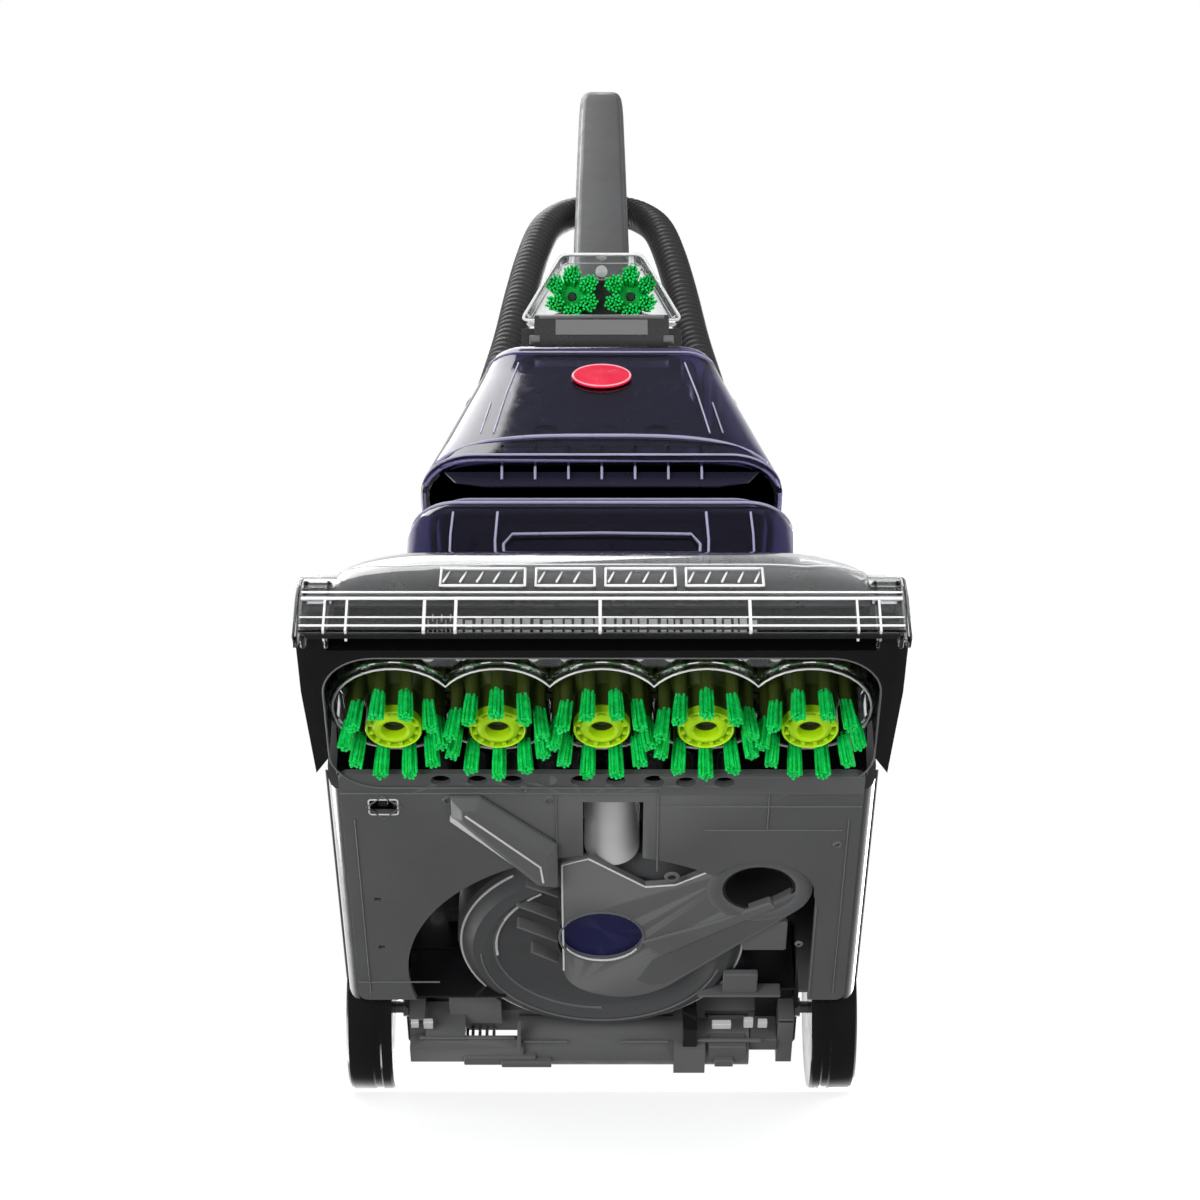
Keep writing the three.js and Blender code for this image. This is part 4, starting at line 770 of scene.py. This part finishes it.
WHEEL = [(4.4, 2), (46, 2), (48.6, 1.6), (50.6, 1.4), (51.4, 2.2), (52, 3.4), (52, 8), (51.3, 9), (51.3, 13), (52, 14),
         (52, 26.6), (51, 28.8), (49.4, 30), (40.4, 30), (38.6, 29), (37, 23), (16, 23), (14.6, 28.2), (13.6, 29), (4.4, 29)]
for side, sign in (("left", -1), ("right", 1)):
    place = BASE @ at(sign * 131, 425, 52) @ Matrix.Rotation(sign * math.pi / 2, 4, "Y")
    piece(f"wheel_{side}_tyre", lathe(WHEEL, 112), f"wheel_{side}", "black_plastic", [f"wheel_{side}"], place, angle=26)
    spokes = [moved(block(17, 37, -1.6, 1.6, 21, 27), Matrix.Rotation(math.radians(60 * k), 4, "Z")) for k in range(6)]
    piece(f"wheel_{side}_spokes", merge(*spokes), f"wheel_{side}", "black_plastic", matrix=place, bevel=0.6)
    cap = lathe([(0.01, 29.6), (13.2, 29.6), (13.2, 30.2), (11.6, 31.4), (8, 31.9), (0.01, 32)], 64, loop=False)
    place2 = BASE @ at(sign * 131, 425, 52) @ Matrix.Rotation(sign * math.pi / 2, 4, "Y")
    piece(f"hub_cap_{side}_disc", merge(cap, rod(3.6, (0, 0, 27.4), (0, 0, 30), 32)), f"wheel_{side}", "housing_plastic", [f"hub_cap_{side}"], place2, angle=30)
restyled("release_pedal", 1.0, segments=3, angle=35)
band = [bead([(s * 159.0, 152, 70), (s * 159.0, 360, 70)], 0.8, 6) for s in (-1, 1)] + [bead([(s * 159.0, 152, 30), (s * 159.0, 360, 30)], 0.8, 6) for s in (-1, 1)]
piece("base_side_seams", merge(*band), "base", "housing_plastic")

# ------------------------------------------------------------------ recovery tank
def tub_ring(inset, h, f, z, r, n=8):
    return ring_rect(-h + inset, h - inset, f + inset, 236 - inset, max(2, r - inset), z, n)


outer = [tub_ring(0, *v) for v in ((109, 75, 104.5, 22), (112, 72, 105.0, 25), (114, 70.8, 108, 27), (115, 70, 112.5, 28), (115, 70.4, 128, 28), (115, 71, 158, 28), (113.6, 72.4, 166, 27.5), (110, 76, 172.4, 26), (105, 80, 177, 25), (100, 84, 180, 24))]
outer += [ring_rect(-92, 92, 106, 232, 20, z, 8) for z in (180.4, 200, 222)]
inner = [ring_rect(-89, 89, 109, 229, 17, z, 8) for z in (222, 200, 178)]
inner += [tub_ring(2.6, *v) for v in ((100, 84, 177.2, 24), (105, 80, 174.4, 25), (110, 76, 170.4, 26), (113.6, 72.4, 164.8, 27.5), (115, 71, 157, 28), (115, 70.4, 128, 28), (115, 70, 113, 28), (113, 71.5, 108, 26))]
tub = carve(raw("tub_shell", loft(outer + inner)), cutter(block(-84, 84, 60, 90, 111, 126.6)))
finish(tub, "tank", "violet_plastic", ["recovery_tub"], angle=24)
line = [(x, y - 0.3, z) for x, y, z in ring_rect(-112.6, 112.6, 73.2, 200, 27.5, 168.0, 10) if y < 120]
line.sort(key=lambda p: p[0])
tub_beads = [bead(line, 1.0, 8)]
line2 = sorted([(x, y, z) for x, y, z in ring_rect(-102, 102, 82.4, 200, 24, 179.4, 10) if y < 120])
tub_beads.append(bead(line2, 0.8, 8))
piece("tub_shoulder_beads", merge(*tub_beads), "tank", None, mat=VIOLET_LINE_HIGHLIGHT, angle=60)
front = [bead([(-56, 69.8, 112), (-57, 69.9, 132), (-52, 70.0, 140), (0, 70.1, 141), (52, 70.0, 140), (57, 69.9, 132), (56, 69.8, 112)], 0.9, 8)]
front += [bead([(s * 61, 69.6, 110), (s * 62, 69.9, 135), (s * 61, 70.6, 158)], 0.8, 8) for s in (-1, 1)]
front += [bead([(s * 88, 69.9, 110), (s * 88, 70.0, 140), (s * 87, 70.6, 158)], 0.7, 8) for s in (-1, 1)]
piece("tub_face_lines", merge(*front), "tank", None, mat=VIOLET_LINE_HIGHLIGHT, angle=60)
piece("tub_face_panel", prism(rect(-58, 58, 109, 150, 5, 5), 73.6, 74.8, "y"), "tank", None, mat=DUSK, bevel=0.4)
piece("tub_side_panels", merge(*[prism(rect(*sorted((s * 62, s * 86)), 109, 156, 4, 4), 75.6, 76.8, "y") for s in (-1, 1)]), "tank", None, mat=DUSK, bevel=0.4)
piece("tub_seals", merge(*[bead([(-56, 95, z), (56, 95, z)], 0.7, 8) for z in (130, 134)]), "tank", "black_rubber")
restyled("riser_duct", 1.2, segments=3, angle=26, mat=DUSK)
restyled("lid_gasket", 0.6, angle=30)


# ------------------------------------------------------------------ tank lid
def lid_front(z):
    return lerp(85, 141, (z - 212) / 160)


def lid_half(z):
    return lerp(107, 72, min(1, max(0, (z - 232) / 140)))


def lid_ring(inset, z, f, h, r, n=8):
    return ring_rect(-h + inset, h - inset, f + inset, 240 - inset, max(2, r - inset), z, n)


def lid_rings(inset, low):
    zs = [low, 222, 232, 250, 275, 300, 330, 358]
    rings = [lid_ring(inset, z, lid_front(max(z, 212)), lid_half(z), lerp(30, 22, min(1, max(0, (z - 232) / 126)))) for z in zs]
    f, h = lid_front(358), lid_half(358)
    for dz, df, dh, r in ((6, 1.2, 1.0, 22), (10, 3.0, 2.6, 22), (13.5, 6.0, 5.2, 21), (16.6, 10.4, 9.2, 20), (18, 15, 13, 18)):
        rings.append(lid_ring(inset, 358 + dz - inset * (0.5 if dz < 13 else 1), f + df, h - dh, r))
    return rings


solid = loft(lid_rings(0, 212) + lid_rings(2.6, 212)[::-1])
lid = raw("lid_shell", solid)
finish(lid, "lid", "violet_plastic", ["tank_lid"], angle=24)
ears = merge(*[prism([(188, 374), (216, 374), (210, 403), (194, 403)], *sorted((s * 53, s * 58)), "x") for s in (-1, 1)])
ear = carve(raw("lid_ears", ears), cutter(rod(4.4, (-70, 202, 395), (70, 202, 395), 40)))
finish(ear, "lid", "violet_plastic", bevel=1.0, segments=3)
bead_line = ring_rect(-108, 108, 84, 241, 31, 214.5, 12)
piece("lid_bead", bead(bead_line, 1.9, 12, loop=True), "lid", "violet_plastic", angle=60)
lip = sorted([(x, y - 0.6, z) for x, y, z in ring_rect(-108.4, 108.4, 83.6, 241, 31, 216.6, 12) if y < 150])
piece("lid_lip_line", bead(lip, 0.9, 8), "lid", None, mat=VIOLET_LINE_HIGHLIGHT, angle=60)
arch = []
for k in range(41):
    t = k / 40 * 2 - 1
    x = 100 * t
    z = 246 - 22 * abs(t) ** 3.2
    arch.append((x, lid_front(z) - 0.5 + (abs(t) ** 8) * 9, z))
piece("lid_arch_line", bead(arch, 1.1, 8), "lid", None, mat=VIOLET_LINE_HIGHLIGHT, angle=60)
shelf = [bead([(20 * k, 88, 213.5), (20 * k, 92, 205)], 0.8, 8) for k in range(-3, 4)]
piece("lid_ribs", merge(*shelf), "lid", None, mat=VIOLET_LINE_HIGHLIGHT)
webs = merge(*[block(20 * k - 0.8, 20 * k + 0.8, 92, 104, 222, 234) for k in range(-3, 4)], block(-72, 72, 92, 104, 220.6, 222.2))
piece("lid_skirt", prism([(-96, 214), (96, 214), (88, 204), (70, 200.5), (-70, 200.5), (-88, 204)], 93, 94.6, "y"), "lid", None, mat=DUSK, bevel=0.4)
piece("lid_rib_webs", webs, "lid", "violet_plastic", bevel=0.3)
# Thin pale beads along the lid's sides and top edge: painted highlight streaks.
highlight_streaks = []
for s in (-1, 1):
    highlight_streaks.append(bead([(s * 66, lid_front(250) - 0.3, 250), (s * 60, lid_front(300) - 0.3, 300), (s * 53, lid_front(345) - 0.3, 345)], 0.55, 6))
    highlight_streaks.append(bead([(s * 74, lid_front(250) - 0.2, 250), (s * 69, lid_front(290) - 0.2, 290)], 0.45, 6))
top_arc = sorted([(x, y - 0.4, z) for x, y, z in ring_rect(-lid_half(358) + 0.6, lid_half(358) - 0.6, lid_front(358) + 0.4, 240, 22, 360, 12) if y < 190])
highlight_streaks.append(bead(top_arc, 0.6, 8))
piece("lid_face_lines", merge(*highlight_streaks), "lid", None, mat=VIOLET_LINE_HIGHLIGHT, angle=60)

# Dark moulded duct inside the lid: an open-backed box behind the face, with the round separator wells.
duct_face = []
for z, h in ((244, 72), (262, 66), (300, 58), (335, 50), (352, 46)):
    duct_face.append((z, h, lid_front(z) + 9))
inner = loft([[(-h, f, z), (h, f, z), (h, f + 26, z), (h - 2.5, f + 26, z), (h - 2.5, f + 2.5, z), (-h + 2.5, f + 2.5, z), (-h + 2.5, f + 26, z), (-h, f + 26, z)] for z, h, f in duct_face])
piece("lid_inner_duct", inner, "lid", None, mat=SMOKE, bevel=0.6)
rounds = merge(
    moved(lathe([(9, -3), (12, -3), (13, -2), (13, 3), (9, 3)], 48), at(2, lid_front(262) + 9, 258) @ Matrix.Rotation(math.pi / 2, 4, "X")),
    moved(lathe([(7, -2), (9, -2), (9, 2), (7, 2)], 40), at(-34, lid_front(252) + 6, 252) @ Matrix.Rotation(math.pi / 2, 4, "X")),
    moved(lathe([(7, -2), (9, -2), (9, 2), (7, 2)], 40), at(34, lid_front(252) + 6, 252) @ Matrix.Rotation(math.pi / 2, 4, "X")),
)
piece("lid_wells", rounds, "lid", "black_plastic", angle=30)
restyled("float_cage", 0.4, angle=34)
piece("float_body", lathe([(0.01, 237.4), (13, 237.4), (14.6, 238), (20.4, 244), (21, 246), (21, 274), (19, 277), (13, 284), (11, 285), (0.01, 285)], 64, (0, 180), loop=False), "float", "light_grey_plastic", ["float"], angle=30)

restyled("carry_handle", 1.8, segments=4, angle=30, mat=HANDLE)
# Pale bead and strip along the top of the dark carry handle: a painted highlight band.
piece("handle_line", merge(bead([(-41, 148.1, 404.8), (0, 147.9, 405.2), (41, 148.1, 404.8)], 1.3, 8), block(-30, 30, 147.4, 148.6, 388, 402)), "carry_handle", "mid_grey_plastic")
clips = merge(*[block(*sorted((s * 40, s * 47)), 147.7, 151, 382, 388) for s in (-1, 1)])
piece("handle_clips", clips, "carry_handle", "mid_grey_plastic", bevel=0.8)

face = math.atan2(56, 160)
place = BASE @ at(0, lid_front(325) - 2.3, 325) @ Matrix.Rotation(-face, 4, "X")
oval = [(19 * math.cos(a), 17 * math.sin(a)) for a in [k * math.pi / 48 for k in range(96)]]
piece("badge_disc", prism(oval, 0.3, 1.6, "y"), "lid", "red_plastic", ["badge"], place, bevel=0.5, segments=3)
piece("badge_rim", bead([(x * 0.95, 0.2, z * 0.93) for x, z in oval], 0.5, 8, loop=True), "lid", None, matrix=place, mat=PALE_RED)

# ------------------------------------------------------------------ upright
restyled("lower_frame", 1.4, segments=3, angle=28)
restyled("frame_back_panel", 1.0)


def stem_ring(half, front, back, w, n=8):
    return ring_rect(-half, half, front, back, 6, w, n)


stem_rings = [stem_ring(*v) for v in ((23, -19, 20, 560.5), (22, -19, 20, 630), (21, -19, 20, 700), (19.7, -19, 20, 790), (18.5, -19, 20, 862), (17.9, -18.7, 20, 880), (17, -18, 20, 892), (16, -16.6, 19.6, 898), (14.6, -14.4, 18.8, 902.6), (13, -12, 18, 905))]
piece("stem_column", loft(stem_rings), "upright", "mid_grey_plastic", ["stem"], UPRIGHT, angle=30)


def face_ring(h, w, v=-19.4):
    return [(-h - 1, v, w), (-h - 0.4, v - 1.8, w), (-h + 0.8, v - 2.8, w), (-h + 2.4, v - 3, w), (h - 2.4, v - 3, w), (h - 0.8, v - 2.8, w), (h + 0.4, v - 1.8, w), (h + 1, v, w)]


face_rings = [face_ring(*v) for v in ((18.4, 470), (19, 472), (19, 560.5), (17.5, 700), (16.3, 780), (15, 862), (14.2, 876), (12.4, 884))]
piece("stem_face_plate", loft(face_rings), "upright", "grey_plastic", ["stem_face"], UPRIGHT, angle=34)
# Light-grey bead down the stem's left front edge: a painted highlight.
stem_highlight_line = [(-19.6, -20.6, 560), (-18.2, -20.6, 700), (-16.8, -20.6, 790), (-15.6, -20.6, 862)]
piece("stem_seam", bead(stem_highlight_line, 0.5, 6), "upright", "light_grey_plastic", matrix=UPRIGHT)
restyled("grip", 1.6, segments=3, angle=26)
restyled("spray_trigger", 1.0, segments=3)
restyled("power_switch", 0.7, segments=3)

hose_half = [(86.4, 12, 446), (83.4, 12, 480), (71, 12, 560), (63, 13, 630), (55, 15, 690), (46, 20, 738), (33, 29, 772), (17, 35, 791), (0, 36.5, 797)]
hose_line = catmull([(-x, v, w) for x, v, w in hose_half] + hose_half[-2::-1], 26)
lengths = [0.0]
for a, b in zip(hose_line, hose_line[1:]):
    lengths.append(lengths[-1] + (b - a).length)
count = int(lengths[-1] / 1.55)
even, k = [], 0
for i in range(count + 1):
    want = lengths[-1] * i / count
    while k < len(lengths) - 2 and lengths[k + 1] < want:
        k += 1
    even.append(hose_line[k].lerp(hose_line[k + 1], (want - lengths[k]) / max(1e-6, lengths[k + 1] - lengths[k])))
ridge = lambda t: 12.35 + 0.6 * math.cos(2 * math.pi * t * count / 4)
piece("hose_tube", sweep(even, ridge, 28), "upright", "hose_vinyl", ["hose"], UPRIGHT, angle=60)
for side, sign in (("left", -1), ("right", 1)):
    rings = []
    path = [(sign * 100.5, 12, 301.6), (sign * 97.7, 12, 330), (sign * 88.8, 12, 420), (sign * 88, 12, 428), (sign * 84.2, 12, 472), (sign * 84, 12, 474)]
    shape = sweep(path, lambda t: 16.6 if t == 0 else (16.8 if t == 1 else 17.4), 48)
    bore = cutter(rod(14.4, (sign * 86.5, 12, 445.2), (sign * 81.7, 12, 500), 48), UPRIGHT)
    cup = carve(raw(f"hose_socket_{side}_cup", shape, UPRIGHT), bore)
    finish(cup, "upright", "black_rubber", [f"hose_socket_{side}"], bevel=0.6, angle=34)
    collars = merge(*[moved(lathe([(17.2, -1.2), (18.3, -0.8), (18.3, 0.8), (17.2, 1.2)], 48), at(sign * (100.5 - (w - 301.6) * 0.0989), 12, w)) for w in (340, 352, 364)])
    piece(f"hose_socket_{side}_rings", collars, "upright", "black_rubber", matrix=UPRIGHT)
screws = [lathe([(0.01, -1), (3.4, -1), (4.2, -0.4), (4.4, 0.4), (2.4, 0.4), (2.2, -0.2), (0.01, -0.2)], 24, loop=False)]
heads = []
for x, w in ((-60, 200), (60, 200), (-52, 330), (52, 330), (-34, 500), (34, 500)):
    heads.append(moved(screws[0], at(x, 22.2, w) @ Matrix.Rotation(-math.pi / 2, 4, "X")))
for s in (-1, 1):
    for w in (20, 240):
        heads.append(moved(screws[0], at(s * 108, 22.2, w) @ Matrix.Rotation(-math.pi / 2, 4, "X")))
piece("frame_screws", merge(*heads), "upright", "steel", matrix=UPRIGHT, angle=30)
seams = [bead([(s * 12, 22.3, 200), (s * 9, 22.3, 480)], 0.6, 6) for s in (-1, 1)]
seams += [bead([(s * 108, -8.1, 20), (s * 108, -8.1, 262)], 0.7, 6) for s in (-1, 1)]
piece("frame_ribs", merge(*seams), "upright", "grey_plastic", matrix=UPRIGHT)
restyled("hose_hook", 1.0)
restyled("solution_shelf", 1.0)
restyled("cord_hook_upper", 1.0, segments=3)
restyled("cord_gland", 0.5, angle=40)

# ------------------------------------------------------------------ hand tool
def hood_ring(ht, hl, top, low, y, d=0.0):
    corners = [(-hl + d, low + d), (hl - d, low + d), (ht - d, top - d), (-ht + d, top - d)]
    out, r = [], 5.0
    for i, (x, z) in enumerate(corners):
        p, q = Vector(corners[i - 1]), Vector(corners[(i + 1) % 4])
        c = Vector((x, z))
        a, b = c + (p - c).normalized() * r, c + (q - c).normalized() * r
        for k in range(7):
            t = k / 6
            m = a * (1 - t) ** 2 + c * 2 * t * (1 - t) + b * t * t
            out.append((m.x, y, m.y))
    return out


def hood_rings(d, back):
    return [hood_ring(*v, d) for v in ((20, 29, 15, -18, 24 - back), (25, 42, 17.6, -23, 10), (30, 56, 20, -28, -4), (30, 59, 20, -30, -34))]


hood = raw("tool_hood_shell", loft(hood_rings(0, 0) + hood_rings(2.2, 2.2)[::-1]), TOOL)
finish(hood, "upright", "clear_plastic", ["tool_hood"], angle=30)
rim = hood_ring(30, 59, 20, -30, -33.2, 0.8)
rim2 = hood_ring(30, 56, 20, -28, -4, -0.2)
piece("tool_hood_rim", merge(bead(rim, 1.2, 8, loop=True), bead(rim2, 0.6, 8, loop=True)), "upright", None, matrix=TOOL, mat=CLEAR_RIDGE_HIGHLIGHT, angle=60)
for side, sign in (("left", -1), ("right", 1)):
    rnd = random.Random(5)
    plate_shape = lathe([(3.4, -12), (12, -12), (13, -11), (13, -7), (12, -6), (3.4, -6)], 48)
    disc = moved(plate_shape, Matrix.Translation((sign * 21.5, 0, -8)) @ Matrix(((1, 0, 0, 0), (0, 0, 1, 0), (0, -1, 0, 0), (0, 0, 0, 1))))
    strands = []
    for k in range(6):
        a = (k + 0.5) * math.pi / 3
        for j in range(26):
            b = j * 2.39996
            s = 1.02 * math.sqrt(j + 0.5)
            dx, dz = s * math.cos(b), s * math.sin(b)
            foot = Vector((sign * 21.5 + 11.4 * math.cos(a) + dx * 0.8, -8, -8 + 11.4 * math.sin(a) + dz * 0.8))
            tip = Vector((sign * 21.5 + 14.4 * math.cos(a) + dx * 1.3, -26.6 - rnd.uniform(0, 1.4), -8 + 14.4 * math.sin(a) + dz * 1.3))
            strands.append(sweep([foot, foot.lerp(tip, 0.5), tip], lambda t: 1.1 - 0.1 * t, 6))
    piece(f"tool_brush_{side}_disc", disc, f"tool_brush_{side}", "green_bristle", [f"tool_brush_{side}"], TOOL, angle=40)
    piece(f"tool_brush_{side}_bristles", merge(*strands), f"tool_brush_{side}", "green_bristle", matrix=TOOL, angle=80)
restyled("tool_gearcase", 0.8, segments=3, angle=30)
piece("tool_spray_tip", moved(lathe([(0.01, -3), (3.6, -3), (4.4, -1), (4.4, 4), (0.01, 4)], 32, loop=False), at(0, -8, 11) @ Matrix.Rotation(math.pi / 2, 4, "X")), "upright", "light_grey_plastic", matrix=TOOL)
restyled("tool_body", 0.8, segments=2, angle=40)
restyled("tool_dock", 1.0, segments=3)

# ------------------------------------------------------------------ clean solution tank
def tank_ring(inset, h, d, w, r):
    return ring_rect(-h + inset, h - inset, 31 + d + inset, 106 - d - inset, max(3, r - inset), w, 8)


def tank_rings(inset):
    rows = ((54, 8, 190 + inset, 14), (60, 3, 193 + inset, 16), (64.4, 0.8, 198 + inset, 17.4), (66, 0, 204 + inset, 18), (66, 0, 280, 18), (66, 0, 360, 18),
            (62, 0.8, 430, 18), (58, 1.8, 490, 18), (54, 3, 518, 18), (50, 5.6, 528 - inset * 0.6, 17), (42, 12, 536 - inset, 14))
    return [tank_ring(inset, *v) for v in rows]


shell = raw("solution_tank_shell", loft(tank_rings(0)), UPRIGHT)
neck = cutter(rod(19, (0, 68, 534), (0, 68, 544), 64), UPRIGHT)
carve(shell, neck, operation="UNION")
carve(shell, cutter(loft(tank_rings(2.8)), UPRIGHT), cutter(rod(16, (0, 68, 528), (0, 68, 546), 64), UPRIGHT))
finish(shell, "solution_tank", "violet_plastic", ["solution_tank"], angle=24)
levels = merge(*[block(-12 if k % 2 == 0 else -7, 12 if k % 2 == 0 else 7, 105.6, 106.3, 236 + 30 * k, 237.2 + 30 * k) for k in range(8)])
piece("solution_tank_levels", levels, "solution_tank", None, matrix=UPRIGHT, mat=VIOLET_LINE_HIGHLIGHT, bevel=0.2)
cap = lathe([(19.9, 536.6), (23.2, 536.6), (24, 537.6), (24, 549.4), (22.6, 551.4), (18, 551.6), (0.01, 551.6), (0.01, 545.1), (19.9, 545.1)], 96, loop=False)
grip_ribs = [moved(block(23.4, 24.0, -0.9, 0.9, 538.4, 548.4), Matrix.Rotation(math.radians(12 * k), 4, "Z")) for k in range(30)]
bar = block(-20, 20, -3, 3, 551, 556)
piece("solution_cap_body", moved(merge(cap, bar, *grip_ribs), at(0, 68, 0)), "solution_cap", "grey_plastic", ["solution_cap"], UPRIGHT, bevel=0.5, angle=35)


# ------------------------------------------------------------------ camera, floor and light
def look(location, direction, lens):
    data = bpy.data.cameras.new("camera")
    data.lens = lens
    data.sensor_width = 36
    data.clip_start = 0.01
    data.clip_end = 50
    cam = bpy.data.objects.new("camera", data)
    cam.location = location
    cam.rotation_euler = Vector(direction).to_track_quat("-Z", "Y").to_euler()
    scene.collection.objects.link(cam)
    scene.camera = cam


TILT = math.radians(41.5)
look(BASE @ Vector((-1.07, -1297.42, -1120.94)), (0, math.cos(TILT), math.sin(TILT)), 96)

for obj in frame["nodes"].values():
    obj.data.materials.clear()
    obj.data.materials.append(MAT[SLOT_OF[obj.name]] if obj.name in SLOT_OF else MAT["grey_plastic"])

world = bpy.data.worlds.new("studio")
world.use_nodes = True
scene.world = world
wn, wl = world.node_tree.nodes, world.node_tree.links
rays = wn.new("ShaderNodeLightPath")
seen = wn.new("ShaderNodeMath")
seen.operation = "MAXIMUM"
wl.new(rays.outputs["Is Camera Ray"], seen.inputs[0])
wl.new(rays.outputs["Is Transmission Ray"], seen.inputs[1])
parts = wn.new("ShaderNodeSeparateXYZ")
wl.new(wn.new("ShaderNodeTexCoord").outputs["Generated"], parts.inputs[0])
lift = wn.new("ShaderNodeMath")
lift.inputs[1].default_value = 0.6
wl.new(parts.outputs["Z"], lift.inputs[0])
behind = wn.new("ShaderNodeMath")
behind.operation = "MINIMUM"
wl.new(parts.outputs["Y"], behind.inputs[0])
wl.new(lift.outputs[0], behind.inputs[1])
gloss = wn.new("ShaderNodeMix")
wl.new(rays.outputs["Is Glossy Ray"], gloss.inputs["Factor"])
gloss.inputs["A"].default_value = 0.42
wl.new(remap(wn, wl, behind.outputs[0], 0.1, 1.1, 0.25, 0.7), gloss.inputs["B"])
total = wn.new("ShaderNodeMix")
wl.new(seen.outputs[0], total.inputs["Factor"])
wl.new(gloss.outputs["Result"], total.inputs["A"])
total.inputs["B"].default_value = 1.0
wl.new(total.outputs["Result"], wn["Background"].inputs["Strength"])
wn["Background"].inputs["Color"].default_value = (1, 1, 1, 1)


def lamp(name, place, aim, size, power, height=None, shine=True):
    data = bpy.data.lights.new(name, "AREA")
    data.energy = power
    data.size = size
    if height:
        data.shape = "RECTANGLE"
        data.size_y = height
    obj = bpy.data.objects.new(name, data)
    obj.location = place
    obj.rotation_euler = (Vector(aim) - Vector(place)).to_track_quat("-Z", "Y").to_euler()
    obj.visible_camera = False
    obj.visible_transmission = False
    obj.visible_glossy = shine
    scene.collection.objects.link(obj)


lamp("key", (-0.9, -1.35, -0.95), (0, -0.1, 0.1), 1.1, 30, shine=False)
lamp("fill", (1.3, -0.9, -0.7), (0, 0, 0.15), 1.2, 14, shine=False)
lamp("side_strip", (-1.3, 0.9, 0.05), (0, 0.05, 0.1), 0.7, 16, 1.4)
lamp("front_top", (0.25, -1.6, 1.5), (0, 0, 0.3), 1.2, 30, shine=False)
lamp("back", (0.8, 1.7, 1.3), (0, 0, 0.45), 1.3, 26)
lamp("top", (-0.6, 0.2, 2.3), (0, 0, 0.4), 1.2, 18)


def stage_plane(name, corners, faces, mat):
    mesh = bpy.data.meshes.new(name)
    mesh.from_pydata(corners, [], faces)
    mesh.materials.append(mat)
    obj = bpy.data.objects.new(name, mesh)
    scene.collection.objects.link(obj)
    obj.visible_diffuse = obj.visible_glossy = obj.visible_transmission = obj.visible_shadow = False


pale, pn, pl, ps = new_material("stage_floor")
ps.inputs["Base Color"].default_value = (0.5, 0.5, 0.5, 1)
ps.inputs["Roughness"].default_value = 1.0
ps.inputs["Emission Color"].default_value = (1, 1, 1, 1)
ps.inputs["Emission Strength"].default_value = 0.62
hole = pn.new("ShaderNodeBsdfTransparent")
sides = pn.new("ShaderNodeMixShader")
pl.new(pn.new("ShaderNodeNewGeometry").outputs["Backfacing"], sides.inputs["Fac"])
pl.new(ps.outputs["BSDF"], sides.inputs[1])
pl.new(hole.outputs["BSDF"], sides.inputs[2])
pl.new(sides.outputs["Shader"], pn["Material Output"].inputs["Surface"])
stage_plane("stage_floor", [(-40, -40, 0), (40, -40, 0), (40, 40, 0), (-40, 40, 0)], [(0, 1, 2, 3)], pale)
sheet, sn, sl, ss = new_material("stage_sheet")
ss.inputs["Base Color"].default_value = (0.6, 0.6, 0.61, 1)
ss.inputs["Roughness"].default_value = 1.0
ss.inputs["Emission Color"].default_value = (1, 1, 1, 1)
ss.inputs["Emission Strength"].default_value = 0.72
low = [BASE @ Vector((x, y, (0.6626 * y - 294.7) / 0.749)) for x, y in ((-700, -560), (700, -560), (700, 444), (-700, 444))]
stage_plane("stage_sheet", low, [(0, 1, 2, 3)], sheet)
scene.view_settings.view_transform = "Standard"
